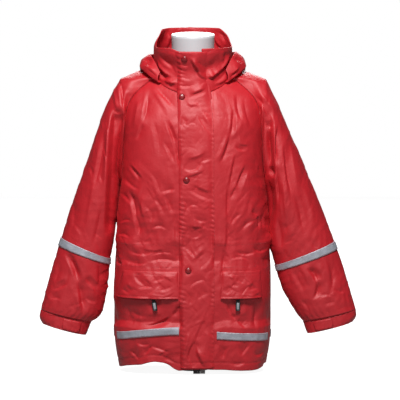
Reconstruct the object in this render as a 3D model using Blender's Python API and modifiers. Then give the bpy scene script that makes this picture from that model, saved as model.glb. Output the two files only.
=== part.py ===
"""Kids rain jacket, zipped and hanging on a headless, armless dress form.

The jacket faces -Y, +X is on the right as seen from in front, and +Z is up. The origin is
in the middle of the form's flat base. "left" and "right" in the names are as seen from in
front. Each cloth piece is an open surface, given its wall by Solidify. The surfaces are
worked out from a few sections of the trunk, a few rings of each sleeve and the neck seam.
"""

import math

import bmesh
import bpy
import numpy as np
from mathutils import Matrix, Vector

# Cloth walls and the clearances between pieces
CLOTH = 0.0012
COLLAR_WALL = 0.0016
TAPE_WALL = 0.0010
SEAM_GAP = 0.0003
LAY_GAP = 0.0008

# Heights on the trunk
UNDERARM_Z = 0.405
NECK_FRONT_Z = 0.6125
NECK_BACK_Z = 0.675
NECK_SIDE_LIFT = 0.016
TRUNK_SHIFT = -0.0015
UNDERARM_SHARE = UNDERARM_Z / NECK_BACK_Z

# Neck seam and stand collar
NECK_HALF_WIDTH = 0.088
NECK_FRONT_DEPTH = 0.080
NECK_BACK_DEPTH = 0.075
COLLAR_TOP_FRONT_Z = 0.7140
COLLAR_TOP_BACK_Z = 0.7505
COLLAR_RISE_FROM = math.radians(75)
COLLAR_RISE_TO = math.radians(130)
COLLAR_RISE_LAG = math.radians(14)
COLLAR_TOP_HALF_WIDTH = 0.0855
COLLAR_TOP_DEPTH = 0.0780
COLLAR_END_DROP = 0.0065
COLLAR_DROP_FROM = 0.88
COLLAR_DROP_TO = 0.92
NECK_TURN_REACH = 0.018
RAGLAN_FRONT_ANGLE = math.radians(70)
RAGLAN_BACK_ANGLE = math.radians(115)

# Front closing
ZIP_X = 0.0176
ZIP_HALF_WIDTH = 0.014
ZIP_GAP = 0.0014
ZIP_FOOT_Z = 0.0290
ZIP_TOP_Z = 0.5950
FLAP_FOOT_Z = 0.0150
FLAP_TOP_Z = 0.7070
SNAP_RADIUS = 0.0072
SNAP_HEIGHT = 0.0030
SNAP_SEAT = 0.0008

# Pocket flaps, zips, sliders and pull tabs
POCKET_TOP_Z = 0.2285
POCKET_FOOT_Z = 0.1689
FLAP_STAND_OFF = 0.0062
FLAP_STAND_CURVE = 1.4
POCKET_ZIP_Z = 0.1760
POCKET_ZIP_HEIGHT = 0.0120
POCKET_ZIP_INSET = 0.1
SLIDER_WIDTH = 0.0085
SLIDER_HEIGHT = 0.0100
SLIDER_DEPTH = 0.0022
SLIDER_BEVEL = 0.0005
EAR_THICKNESS = 0.0013
EAR_DEPTH = 0.0040
EAR_HEIGHT = 0.0062
EAR_Y = 0.0008
EAR_Z = 0.0018
TAB_WIDTH = 0.0100
TAB_LENGTH = 0.0215
TAB_THICKNESS = 0.0024
TAB_BEVEL = 0.0008
TAB_DROP = 0.0018
TAB_NECK_DEPTH = 0.0016
TAB_NECK_HEIGHT = 0.0040
BARREL_RADIUS = 0.0012
BARREL_LENGTH = 0.0046
HINGE_STAND_OFF = 0.0046
HINGE_Z = 0.1655

# Reflective bands: the body's, from where to where it runs on each front and the share of
# the back that it covers, and the sleeve rings that the sleeves' spans
BAND_HEIGHT = 0.0165
FRONT_BAND_LEFT = (-0.166, -0.0305)
FRONT_BAND_RIGHT = (0.0520, 0.164)
BACK_BAND_END = 0.995
SLEEVE_BAND = {-1: (6.93, 7.19), 1: (7.0, 7.27)}

# Lower end of the front zip
ZIP_END_Z = 0.0098
ZIP_END_SLOPE_Z = 0.035
ZIP_END_DEPTH = 0.0056
ZIP_END_HEIGHT = 0.0135
ZIP_END_BEVEL = 0.0004
ZIP_BOX_X = 0.0081
ZIP_BOX_WIDTH = 0.0148
ZIP_BOX_DEPTH = 0.0030
TAPE_END_X = 0.0212
TAPE_END_WIDTH = 0.0108
TAPE_END_DEPTH = 0.0014

# Cuffs and their tabs: the cuff rings that each spans, and the tabs' shares of the turn
CUFF_HALF_DEPTH = 0.036
CUFF_WALL = 0.0016
CUFF_SPAN = (0.012, 2.0)
CUFF_TAB_SPAN = (0.25, 1.8)
CUFF_TAB_TURN = {-1: (0.64, 0.76), 1: (0.24, 0.36)}


def table(names, *rows):
    """A table with named columns, as a dictionary of arrays."""
    columns = np.array(rows, dtype=float).T
    return dict(zip(names.split(), columns))


def read(source, name, where):
    """Column `name` at `where` along the table's first column, on a smooth curve."""
    keys = next(iter(source.values()))
    values = source[name]
    slopes = np.gradient(values, keys)
    where = np.clip(where, keys[0], keys[-1])
    low = np.clip(np.searchsorted(keys, where) - 1, 0, len(keys) - 2)
    step = keys[low + 1] - keys[low]
    t = (where - keys[low]) / step
    return (
        values[low] * (1 + 2 * t) * (1 - t) ** 2
        + values[low + 1] * t**2 * (3 - 2 * t)
        + step * slopes[low] * t * (1 - t) ** 2
        - step * slopes[low + 1] * t**2 * (1 - t)
    )


def ease(t):
    """A smooth step from 0 to 1."""
    t = np.clip(t, 0.0, 1.0)
    return t * t * (3 - 2 * t)


def between(low, high, t):
    return low + (high - low) * t


TRUNK_FRONT = table(
    "height half_width depth corner",
    (0.000, 0.1600, 0.104, 3.0),
    (0.060, 0.1700, 0.108, 3.1),
    (0.160, 0.1722, 0.110, 3.1),
    (0.240, 0.1710, 0.109, 3.0),
    (0.290, 0.1672, 0.104, 2.8),
    (0.335, 0.1648, 0.108, 2.8),
    (0.405, 0.1585, 0.110, 2.8),
    (0.500, 0.1555, 0.106, 2.8),
    (0.560, 0.1545, 0.0985, 2.6),
    (0.590, 0.1500, 0.0900, 2.3),
    (0.6125, 0.1400, 0.0800, 2.1),
    (0.634, 0.1150, 0.0618, 2.0),
    (0.6472, 0.0989, 0.0500, 2.0),
)
TRUNK_BACK = table(
    "height half_width depth corner",
    (0.000, 0.1600, 0.098, 2.8),
    (0.060, 0.1700, 0.100, 2.8),
    (0.160, 0.1722, 0.102, 2.8),
    (0.240, 0.1710, 0.100, 2.7),
    (0.290, 0.1672, 0.096, 2.6),
    (0.335, 0.1648, 0.099, 2.6),
    (0.405, 0.1585, 0.104, 2.6),
    (0.500, 0.1555, 0.106, 2.6),
    (0.560, 0.1545, 0.104, 2.5),
    (0.590, 0.1520, 0.102, 2.4),
    (0.6125, 0.1470, 0.099, 2.3),
    (0.634, 0.1350, 0.094, 2.2),
    (0.655, 0.1120, 0.085, 2.1),
    (0.670, 0.0885, 0.0755, 2.0),
)

# The raglan seams from the underarm up to the neck seam, as seen from in front and behind
RAGLAN_FRONT = table(
    "step across height",
    (0, 0.1585, 0.405),
    (1, 0.1545, 0.450),
    (2, 0.1515, 0.505),
    (3, 0.1475, 0.560),
    (4, 0.1415, 0.588),
    (5, 0.1290, 0.610),
    (6, 0.1060, 0.632),
    (7, 0.0827, 0.6472),
)
RAGLAN_BACK = table(
    "step across height",
    (0, 0.1585, 0.405),
    (1, 0.1545, 0.450),
    (2, 0.1515, 0.505),
    (3, 0.1475, 0.560),
    (4, 0.1430, 0.593),
    (5, 0.1330, 0.622),
    (6, 0.1100, 0.650),
    (7, 0.0798, 0.6700),
)

# Hem height round the trunk, by the angle from the front in degrees, plus to the right
HEM = table(
    "angle height",
    (-180, 0.014),
    (-130, 0.017),
    (-90, 0.0085),
    (-60, 0.0155),
    (-35, 0.0215),
    (-18, 0.0285),
    (-9, 0.0220),
    (-4, 0.0145),
    (0, 0.0130),
    (12, 0.0110),
    (30, 0.0090),
    (56, 0.0085),
    (75, 0.0125),
    (90, 0.0170),
    (130, 0.010),
    (180, 0.014),
)

# Sleeve rings from the shoulder to the cuff seam. "top" is a ring's outermost point and
# "under" its innermost one, as distances from the middle of the trunk and heights.
SLEEVE_LEFT = table(
    "ring top_x top_z under_x under_z half_depth middle_y",
    (2, 0.1600, 0.6420, 0.1600, 0.398, 0.060, 0.000),
    (3, 0.1910, 0.5850, 0.1630, 0.383, 0.063, -0.001),
    (4, 0.2100, 0.5310, 0.1655, 0.358, 0.062, -0.002),
    (5, 0.2395, 0.4440, 0.1695, 0.318, 0.059, -0.003),
    (6, 0.2660, 0.3680, 0.1745, 0.278, 0.054, -0.004),
    (7, 0.2910, 0.2890, 0.1810, 0.2440, 0.049, -0.006),
    (8, 0.3100, 0.2250, 0.1875, 0.1850, 0.045, -0.008),
    (9, 0.3260, 0.1640, 0.2010, 0.1280, 0.042, -0.010),
    (10, 0.3345, 0.1340, 0.2230, 0.1080, 0.038, -0.010),
)
SLEEVE_RIGHT = table(
    "ring top_x top_z under_x under_z half_depth middle_y",
    (2, 0.1600, 0.6410, 0.1600, 0.398, 0.060, 0.000),
    (3, 0.1890, 0.5800, 0.1630, 0.380, 0.063, -0.001),
    (4, 0.2115, 0.5270, 0.1655, 0.352, 0.062, -0.002),
    (5, 0.2480, 0.4440, 0.1690, 0.312, 0.059, -0.003),
    (6, 0.2800, 0.3640, 0.1725, 0.268, 0.054, -0.004),
    (7, 0.3100, 0.2850, 0.1810, 0.2330, 0.048, -0.006),
    (8, 0.3320, 0.2250, 0.1965, 0.1800, 0.044, -0.008),
    (9, 0.3500, 0.1640, 0.2230, 0.1320, 0.042, -0.010),
    (10, 0.3585, 0.1340, 0.2420, 0.1090, 0.038, -0.010),
)
# Cuffs from the seam down to the mouth
CUFF_LEFT = table(
    "ring top_x top_z under_x under_z",
    (0, 0.3345, 0.1340, 0.2230, 0.1080),
    (1, 0.3375, 0.1180, 0.2290, 0.0920),
    (2, 0.3315, 0.1040, 0.2352, 0.0780),
)
CUFF_RIGHT = table(
    "ring top_x top_z under_x under_z",
    (0, 0.3585, 0.1340, 0.2420, 0.1090),
    (1, 0.3600, 0.1200, 0.2470, 0.0950),
    (2, 0.3535, 0.1080, 0.2520, 0.0820),
)
SLEEVES = {-1: SLEEVE_LEFT, 1: SLEEVE_RIGHT}
CUFFS = {-1: CUFF_LEFT, 1: CUFF_RIGHT}
SIDE_NAME = {-1: "left", 1: "right"}
CUFF_SEAM_RING = 10.0

# Cells: a sleeve's columns end on the rows of the panels that it is sewn to
RAGLAN_ROWS = 10
NECK_COLUMNS = 2
SLEEVE_COLUMNS = 2 * (RAGLAN_ROWS + NECK_COLUMNS)
NECK_PART = NECK_COLUMNS / SLEEVE_COLUMNS
SIDE_ROWS = 10
SLEEVE_RINGS = (0.016, 0.2, 0.6, 1.2, 2, 3, 4, 5, 6, 7, 8, 9, 9.985)
PANEL_ROWS = SIDE_ROWS + RAGLAN_ROWS

# The turn round a sleeve's ring that each share round its raglan ring leads to
SLEEVE_TURN = table(
    "share turn",
    (0.0, 0.0),
    (0.0833, 0.062),
    (0.1875, 0.120),
    (0.2917, 0.195),
    (0.3958, 0.320),
    (0.5, 0.5),
)
TURN_EVENS_OUT = (2.0, 6.0)

# The ring at the shoulder's corner, the one that its slope is taken to, and how the top of
# the sleeve rises and flattens on its way there
SHOULDER_RING = 2.0
SHOULDER_RUN_ON = 2.3
SHOULDER_CREST = 0.011
SHOULDER_FLAT = 0.85

# Storm flap: its free edge on the left and its sewn edge on the right
STORM_FLAP = table(
    "height free_x sewn_x",
    (0.000, -0.0260, 0.0500),
    (0.120, -0.0286, 0.0506),
    (0.400, -0.0300, 0.0500),
    (0.580, -0.0330, 0.0460),
    (0.640, -0.0345, 0.0370),
    (0.714, -0.0352, 0.0350),
)
SNAPS = table(
    "number across height",
    (1, -0.0176, 0.6905),
    (2, -0.0235, 0.6085),
    (3, -0.0140, 0.4290),
    (4, -0.0100, 0.2305),
)

# Pocket flaps: the ends of the upper and lower edge, the slider's place and the tab's lean
POCKETS = table(
    "side inner_top inner_foot outer_top outer_foot slider_x lean_degrees",
    (-1, -0.0337, -0.0316, -0.1510, -0.1640, -0.0850, -10.0),
    (1, 0.0650, 0.0600, 0.1465, 0.1475, 0.0975, 2.0),
)
# Height of the middle of the body bands, by the distance across
BODY_BAND = table(
    "across height",
    (-0.170, 0.0825),
    (-0.105, 0.0925),
    (-0.030, 0.0975),
    (0.050, 0.0885),
    (0.170, 0.0800),
)

# The dropped hood: how far each point of its profile stands out from the neck seam and its
# height, by the angle from the front. The profile runs from the neck seam over the
# shoulder or down the back, turns at the bottom and comes up to the face edge.
HOOD = table(
    "angle sewn_z lie_out lie_z fold_out fold_z swell_out swell_z edge_out edge_z",
    (52, 0.6375, 0.0050, 0.6380, 0.0085, 0.6400, 0.0090, 0.6520, 0.0030, 0.6640),
    (66, 0.6475, 0.0090, 0.6490, 0.0170, 0.6530, 0.0160, 0.6680, 0.0035, 0.6850),
    (85, 0.6600, 0.0130, 0.6660, 0.0280, 0.6680, 0.0190, 0.6850, 0.0040, 0.6970),
    (105, 0.6700, 0.0150, 0.6740, 0.0300, 0.6660, 0.0290, 0.6840, 0.0110, 0.6990),
    (130, 0.6760, 0.0250, 0.6680, 0.0460, 0.6350, 0.0540, 0.6580, 0.0270, 0.6950),
    (155, 0.6775, 0.0290, 0.6350, 0.0520, 0.5700, 0.0720, 0.6150, 0.0400, 0.6960),
    (180, 0.6775, 0.0300, 0.6200, 0.0500, 0.5450, 0.0740, 0.6000, 0.0420, 0.6930),
)
HOOD_SEWN_OUT = 0.0010
# How far its face edge is higher on the right than in the middle, and where that starts
HOOD_LEAN = 0.0035
HOOD_LEAN_FROM = 0.4

FORM = table(
    "height half_width half_depth middle_y",
    (0.000, 0.0330, 0.0330, 0.000),
    (0.006, 0.0315, 0.0315, 0.000),
    (0.034, 0.0310, 0.0310, 0.000),
    (0.044, 0.0560, 0.0420, 0.000),
    (0.050, 0.1000, 0.0640, 0.000),
    (0.062, 0.1220, 0.0750, 0.000),
    (0.130, 0.1360, 0.0860, 0.000),
    (0.230, 0.1320, 0.0820, 0.000),
    (0.330, 0.1210, 0.0720, 0.000),
    (0.430, 0.1330, 0.0830, 0.000),
    (0.530, 0.1410, 0.0880, 0.000),
    (0.590, 0.1430, 0.0760, 0.002),
    (0.618, 0.1390, 0.0580, 0.006),
    (0.636, 0.1330, 0.0420, 0.010),
    (0.6485, 0.1230, 0.0300, 0.012),
    (0.6550, 0.1030, 0.0310, 0.011),
    (0.6585, 0.0820, 0.0350, 0.008),
    (0.665, 0.0630, 0.0430, 0.004),
    (0.677, 0.0520, 0.0475, 0.000),
    (0.695, 0.0480, 0.0480, 0.000),
    (0.7400, 0.0473, 0.0473, 0.000),
)
NECK_CAP_TILT = math.radians(3.5)


def section(source, angle, height):
    """The point of a trunk section at an angle from its middle line, at a height."""
    half_width = read(source, "half_width", height)
    depth = read(source, "depth", height)
    power = 2 / read(source, "corner", height)
    across = np.sign(np.sin(angle)) * np.abs(np.sin(angle)) ** power
    out = np.clip(np.cos(angle), 0, 1) ** power
    return half_width * across, depth * out


def section_angle(source, across, height):
    """The angle at which a section reaches this distance across."""
    ratio = np.clip(np.abs(across) / read(source, "half_width", height), 0, 1)
    return np.sign(across) * np.arcsin(ratio ** (read(source, "corner", height) / 2))


def neck(angle):
    """The neck seam, by the angle from the front."""
    depth = np.where(np.cos(angle) > 0, NECK_FRONT_DEPTH, NECK_BACK_DEPTH)
    middle = (NECK_FRONT_Z + NECK_BACK_Z) / 2
    slope = (NECK_BACK_Z - NECK_FRONT_Z) / 2
    x = NECK_HALF_WIDTH * np.sin(angle)
    y = -depth * np.cos(angle)
    z = middle - slope * np.cos(angle) + NECK_SIDE_LIFT * np.sin(angle) ** 2
    return np.stack([x, y, z], -1)


def trunk_row(source, seam, v):
    """Side height and widest angle of the panel's row v, 0 at the hem and 1 at the neck.

    Up to the underarm a row ends on the side seam, and above it on the raglan seam.
    """
    step = np.clip((v - UNDERARM_SHARE) / (1 - UNDERARM_SHARE), 0, 1) * seam["step"][-1]
    across = read(seam, "across", step)
    height = read(seam, "height", step)
    low = v < UNDERARM_SHARE
    side_height = np.where(low, v / UNDERARM_SHARE * UNDERARM_Z, height)
    side_angle = np.where(low, math.pi / 2, section_angle(source, across, height))
    return side_height, side_angle


def trunk(facing, s, v):
    """The trunk's outer surface: facing -1 is the front, s runs from -1 to 1 across."""
    front = facing < 0
    source = TRUNK_FRONT if front else TRUNK_BACK
    middle_z = NECK_FRONT_Z if front else NECK_BACK_Z
    side_height, side_angle = trunk_row(source, RAGLAN_FRONT if front else RAGLAN_BACK, v)
    angle = s * side_angle
    height = v * middle_z + (side_height - v * middle_z) * s**2
    sign = np.where(s < 0, -1, 1)
    round_angle = np.degrees(angle) if front else sign * 180 - np.degrees(angle)
    height = height + read(HEM, "height", round_angle) * (1 - ease(v * 5))
    x, out = section(source, angle, height)
    points = np.stack([x, facing * out, height], -1)
    if front:
        neck_angle = s * RAGLAN_FRONT_ANGLE
    else:
        neck_angle = sign * math.pi - s * (math.pi - RAGLAN_BACK_ANGLE)
    pull = ease((v - 0.86) / 0.14)[..., None] ** 2
    points = points + pull * (neck(neck_angle) - points)
    points[..., 0] += TRUNK_SHIFT * (1 - ease(v * 1.6))
    return points


def share_at(facing, x, v):
    """The share s at which the trunk's row v reaches x."""
    low = np.full(np.shape(v), -1.0)
    high = np.full(np.shape(v), 1.0)
    for _ in range(30):
        middle = (low + high) / 2
        short = trunk(facing, middle, v)[..., 0] < x
        low = np.where(short, middle, low)
        high = np.where(short, high, middle)
    return (low + high) / 2


def share_short(facing, side, v):
    """The share s at which the trunk's row v stops short of the seam at its end."""
    end = trunk(facing, np.full_like(v, side), v)
    gap = np.where(v < UNDERARM_SHARE, SEAM_GAP / 2, SEAM_GAP)
    low = np.full_like(v, 0.9)
    high = np.ones_like(v)
    for _ in range(30):
        middle = (low + high) / 2
        far = np.linalg.norm(trunk(facing, side * middle, v) - end, axis=-1) > gap
        low = np.where(far, middle, low)
        high = np.where(far, high, middle)
    return side * low


def front_at(x, z):
    """The shares s and v of the front's point at x and z."""
    v = np.clip(z / NECK_FRONT_Z, 0, 1)
    for _ in range(12):
        s = share_at(-1, x, v)
        v = np.clip(v + (z - trunk(-1, s, v)[..., 2]) / NECK_FRONT_Z, 0, 1)
    return share_at(-1, x, v), v


def lifted(surface, a, b, distance):
    """Points of a surface, moved out along its normal."""
    step = 1e-4
    across = surface(a + step, b) - surface(a - step, b)
    up = surface(a, b + step) - surface(a, b - step)
    normal = np.cross(across, up)
    normal /= np.linalg.norm(normal, axis=-1, keepdims=True)
    return surface(a, b) + normal * np.asarray(distance)[..., None]


def front(s, v):
    return trunk(-1, s, np.clip(v, 0, 1))


def on_front(x, z, distance):
    """Points above the front, at x and z, moved out along its normal."""
    s, v = front_at(x, z)
    return lifted(front, s, np.clip(v, 2e-4, 1 - 2e-4), distance)


def collar_surface(angle, h):
    """The stand collar, by the angle from the front and the share of its height."""
    base = neck(angle)
    turn = np.abs((angle + math.pi) % (2 * math.pi) - math.pi)
    start = COLLAR_RISE_FROM + COLLAR_RISE_LAG * np.sin(angle)
    rise = ease((turn - start) / (COLLAR_RISE_TO - COLLAR_RISE_FROM))
    x = COLLAR_TOP_HALF_WIDTH * np.sin(angle)
    y = -COLLAR_TOP_DEPTH * np.cos(angle)
    top = np.stack([x, y, between(COLLAR_TOP_FRONT_Z, COLLAR_TOP_BACK_Z, rise)], -1)
    return base + (top - base) * h[..., None]


def on_collar(x, z, distance):
    """Points above the collar's front, at x and z, moved out along its normal."""
    angle = np.arcsin(np.clip(x / NECK_HALF_WIDTH, -1, 1))
    base_z = neck(angle)[..., 2]
    h = (z - base_z) / (COLLAR_TOP_FRONT_Z - base_z)
    return lifted(collar_surface, angle, h, distance)


def front_and_collar(x, z, distance):
    """Points above the front and the collar, with the turn at the neck seam eased."""
    seam_z = neck(np.arcsin(np.clip(x / NECK_HALF_WIDTH, -1, 1)))[..., 2]
    low_z = np.minimum(z, seam_z - NECK_TURN_REACH)
    high_z = np.maximum(z, seam_z + NECK_TURN_REACH)
    low = on_front(x, low_z, distance)
    high = on_collar(x, high_z, distance)
    share = np.clip((z - low_z) / np.maximum(high_z - low_z, 1e-9), 0, 1)[..., None]
    return low + (high - low) * share


def ring_zero(side, u):
    """A sleeve's first ring: the neck seam over the shoulder and both raglan seams."""
    shoulder = (RAGLAN_FRONT_ANGLE + RAGLAN_BACK_ANGLE) / 2
    turn = np.minimum(u, 1 - u)
    end_angle = np.where(u < 0.5, RAGLAN_FRONT_ANGLE, RAGLAN_BACK_ANGLE)
    over_neck = neck(side * between(shoulder, end_angle, np.clip(turn / NECK_PART, 0, 1)))
    v = between(1, UNDERARM_SHARE, np.clip((turn - NECK_PART) / (0.5 - NECK_PART), 0, 1))
    ends = np.full_like(u, side)
    down = np.where(u[..., None] < 0.5, trunk(-1, ends, v), trunk(1, ends, v))
    return np.where(turn[..., None] < NECK_PART, over_neck, down)


def ring_turn(u, ring):
    """The turn round a ring: skewed near the raglan seams and even further down."""
    share = np.minimum(u, 1 - u)
    start, end = TURN_EVENS_OUT
    skew = (read(SLEEVE_TURN, "turn", share) - share) * (1 - ease((ring - start) / (end - start)))
    return 2 * math.pi * (u + np.where(u < 0.5, skew, -skew))


def ellipse(side, source, ring, turn, half_depth, middle_y):
    """A ring between its outermost and innermost points; turn starts forwards at the top."""
    zero = np.zeros_like(turn)
    top = np.stack([side * read(source, "top_x", ring), zero, read(source, "top_z", ring)], -1)
    under = np.stack(
        [side * read(source, "under_x", ring), zero, read(source, "under_z", ring)], -1
    )
    forward = np.stack([zero, middle_y - half_depth * np.sin(turn), zero], -1)
    return (top + under) / 2 + (top - under) / 2 * np.cos(turn)[..., None] + forward


def sleeve_ring(side, ring, u):
    """A ring of the sleeve beyond the shoulder."""
    source = SLEEVES[side]
    depth = read(source, "half_depth", ring)
    middle_y = read(source, "middle_y", ring)
    return ellipse(side, source, ring, ring_turn(u, ring), depth, middle_y)


def sleeve(side, u, ring):
    """A raglan sleeve: u runs round it from the top over the front, ring down its length."""
    u = u % 1.0
    start = ring_zero(side, u)
    corner = sleeve_ring(side, np.full_like(u, SHOULDER_RING), u)
    after = sleeve_ring(side, np.full_like(u, SHOULDER_RUN_ON), u)
    chord = corner - start
    crest = (np.clip(np.cos(ring_turn(u, SHOULDER_RING)), 0, 1) ** 3)[..., None]
    leave = chord + np.array([0, 0, SHOULDER_CREST]) * crest
    run_on = (after - corner) / (SHOULDER_RUN_ON - SHOULDER_RING) * SHOULDER_RING
    arrive = run_on + (chord - run_on) * SHOULDER_FLAT * crest
    t = np.clip(ring / SHOULDER_RING, 0, 1)[..., None]
    shoulder = (
        start * (1 + 2 * t) * (1 - t) ** 2
        + corner * t**2 * (3 - 2 * t)
        + leave * t * (1 - t) ** 2
        - arrive * t**2 * (1 - t)
    )
    beyond = sleeve_ring(side, np.maximum(ring, SHOULDER_RING), u)
    return np.where(ring[..., None] < SHOULDER_RING, shoulder, beyond)


def cuff_surface(side, u, ring):
    """A cuff: u runs round it as on its sleeve, ring from the seam (0) to the mouth (2)."""
    middle_y = read(SLEEVES[side], "middle_y", CUFF_SEAM_RING)
    return ellipse(side, CUFFS[side], ring, 2 * math.pi * u, CUFF_HALF_DEPTH, middle_y)


def hood_surface(angle, t):
    """The dropped hood, by the angle from the front and the share of its profile."""
    degrees = np.degrees(np.where(angle > math.pi, 2 * math.pi - angle, angle))
    seam = neck(angle)
    lean = HOOD_LEAN * np.sin(angle)
    radius = np.linalg.norm(seam[..., :2], axis=-1)
    names = ["lie", "fold", "swell", "edge"]
    out = [np.full_like(degrees, HOOD_SEWN_OUT)]
    out += [read(HOOD, name + "_out", degrees) for name in names]
    height = [read(HOOD, name + "_z", degrees) for name in ["sewn"] + names]
    profile = np.stack([np.stack(out, -1), np.stack(height, -1)], -1)
    slopes = np.gradient(profile, axis=-2)
    place = np.clip(t, 0, 1) * len(names)
    low = np.clip(place.astype(int), 0, len(names) - 1)
    rows = np.arange(len(low))
    f = (place - low)[:, None]
    point = (
        profile[rows, low] * (1 + 2 * f) * (1 - f) ** 2
        + profile[rows, low + 1] * f**2 * (3 - 2 * f)
        + slopes[rows, low] * f * (1 - f) ** 2
        - slopes[rows, low + 1] * f**2 * (1 - f)
    )
    scale = 1 + point[:, 0] / radius
    high = point[:, 1] + lean * ease((t - HOOD_LEAN_FROM) / (1 - HOOD_LEAN_FROM))
    return np.stack([seam[:, 0] * scale, seam[:, 1] * scale, high], -1)


def finish(name, colour, roughness, metallic=0.0):
    """A plain material."""
    material = bpy.data.materials.new(name)
    material.use_nodes = True
    shader = material.node_tree.nodes["Principled BSDF"]
    shader.inputs["Base Color"].default_value = (*colour, 1)
    shader.inputs["Roughness"].default_value = roughness
    shader.inputs["Metallic"].default_value = metallic
    return material


for old in list(bpy.data.objects):
    bpy.data.objects.remove(old, do_unlink=True)

jacket = bpy.data.collections.new("kids_rain_jacket")
bpy.context.scene.collection.children.link(jacket)

NYLON = finish("red_coated_nylon", (0.55, 0.035, 0.05), 0.42)
SNAP_RED = finish("red_snap_cap", (0.60, 0.05, 0.06), 0.3)
REFLECTIVE = finish("reflective_tape", (0.36, 0.37, 0.42), 0.4)
BLACK = finish("black_plastic", (0.02, 0.02, 0.022), 0.4)
GREY = finish("grey_zip_end", (0.25, 0.24, 0.24), 0.5)
FORM_WHITE = finish("form_white", (0.75, 0.75, 0.77), 0.5)


def show(name, bm, material):
    """Put a bmesh into the jacket's collection as one named object."""
    mesh = bpy.data.meshes.new(name)
    bm.to_mesh(mesh)
    bm.free()
    mesh.materials.append(material)
    mesh.shade_smooth()
    made = bpy.data.objects.new(name, mesh)
    jacket.objects.link(made)
    return made


def laid_grid(place, columns, rows, loop):
    """A grid of cells laid on the surface `place(across, up)`, joined to a tube if a loop."""
    bm = bmesh.new()
    bmesh.ops.create_grid(bm, x_segments=columns, y_segments=rows, size=0.5)
    flat = np.array([vertex.co[:2] for vertex in bm.verts]) + 0.5
    for vertex, point in zip(bm.verts, place(flat[:, 0], flat[:, 1])):
        vertex.co = point
    if loop:
        bmesh.ops.remove_doubles(bm, verts=bm.verts, dist=1e-6)
    return bm


def cloth(name, place, columns, rows, wall, material, grow=-1, loop=False):
    """A piece of cloth: a grid laid on a surface and given a wall.

    Seen from outside, across runs to the right and up runs up, both from 0 to 1. grow is
    -1 where the surface is the outer side of the wall, and 1 where it is the inner side.
    """
    made = show(name, laid_grid(place, columns, rows, loop), material)
    solidify = made.modifiers.new("wall", "SOLIDIFY")
    solidify.thickness = wall
    solidify.offset = grow
    return made


# The form: rings from its flat base to the flat cap of its neck
def form_point(across, up):
    rows = FORM["height"]
    height = np.interp(up, np.linspace(0, 1, len(rows)), rows)
    turn = 2 * math.pi * across
    x = read(FORM, "half_width", height) * np.sin(turn)
    y = read(FORM, "middle_y", height) - read(FORM, "half_depth", height) * np.cos(turn)
    tilt = ease((height - 0.66) / 0.08) * math.tan(NECK_CAP_TILT)
    return np.stack([x, y, height + y * tilt], -1)


def build_form():
    bm = laid_grid(form_point, 32, len(FORM["height"]) - 1, True)
    bmesh.ops.holes_fill(bm, edges=[edge for edge in bm.edges if edge.is_boundary], sides=0)
    bmesh.ops.recalc_face_normals(bm, faces=bm.faces)
    show("dress_form", bm, FORM_WHITE)


build_form()


# Trunk panels: two fronts that meet over the zip, and one back
def trunk_panel(facing, side):
    trim_v = SEAM_GAP / NECK_BACK_Z
    side_part = SIDE_ROWS / PANEL_ROWS

    def place(across, up):
        low = up / side_part * UNDERARM_SHARE
        high = between(UNDERARM_SHARE, 1 - trim_v, (up - side_part) / (1 - side_part))
        v = np.where(up < side_part, low, high)
        if facing > 0:
            return trunk(1, between(share_short(1, 1, v), share_short(1, -1, v), across), v)
        middle = share_at(-1, ZIP_X + side * SEAM_GAP, v)
        if side < 0:
            return trunk(-1, between(share_short(-1, -1, v), middle, across), v)
        return trunk(-1, between(middle, share_short(-1, 1, v), across), v)

    return place


cloth("front_left", trunk_panel(-1, -1), 10, PANEL_ROWS, CLOTH, NYLON)
cloth("front_right", trunk_panel(-1, 1), 8, PANEL_ROWS, CLOTH, NYLON)
cloth("back", trunk_panel(1, 1), 14, PANEL_ROWS, CLOTH, NYLON)


# Raglan sleeves, and cuffs with their tabs and the sleeves' reflective bands
def sleeve_patch(side, rings, distance):
    def surface(a, b):
        return sleeve(side, a if side > 0 else 1 - a, b)

    def place(across, up):
        ring = np.interp(up, np.linspace(0, 1, len(rings)), rings)
        return lifted(surface, across, ring, np.full_like(up, distance))

    return place


def cuff_patch(side, turn, span, distance):
    def surface(a, b):
        return cuff_surface(side, a if side > 0 else 1 - a, b)

    def place(across, up):
        a = between(*turn, across)
        return lifted(surface, a, between(*span, up), np.full_like(up, distance))

    return place


for side in (-1, 1):
    name = SIDE_NAME[side]
    tube = sleeve_patch(side, SLEEVE_RINGS, 0.0)
    cloth("sleeve_" + name, tube, SLEEVE_COLUMNS, len(SLEEVE_RINGS) - 1, CLOTH, NYLON, loop=True)
    tube = cuff_patch(side, (0, 1), CUFF_SPAN, 0.0)
    cloth("cuff_" + name, tube, SLEEVE_COLUMNS, 2, CUFF_WALL, NYLON, loop=True)
    tube = sleeve_patch(side, SLEEVE_BAND[side], LAY_GAP)
    cloth("band_sleeve_" + name, tube, SLEEVE_COLUMNS, 1, TAPE_WALL, REFLECTIVE, 1, True)
    strap = cuff_patch(side, CUFF_TAB_TURN[side], CUFF_TAB_SPAN, LAY_GAP)
    cloth("cuff_tab_" + name, strap, 4, 3, CLOTH, NYLON, 1)


# Stand collar: its two ends meet over the zip, the left one a little lower
def collar_place(across, up):
    zip_angle = math.asin(ZIP_X / NECK_HALF_WIDTH)
    gap = SEAM_GAP / NECK_HALF_WIDTH
    angle = between(zip_angle + gap, zip_angle + 2 * math.pi - gap, across)
    drop = ease((across - COLLAR_DROP_FROM) / (COLLAR_DROP_TO - COLLAR_DROP_FROM))
    points = collar_surface(angle, between(0.006, 1, up))
    points[..., 2] -= drop * up * COLLAR_END_DROP
    return points


cloth("collar", collar_place, 36, 3, COLLAR_WALL, NYLON)


def hood_place(across, up):
    start = math.radians(HOOD["angle"][0])
    return hood_surface(between(start, 2 * math.pi - start, across), up)


cloth("hood", hood_place, 24, 8, CLOTH, NYLON)


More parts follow.
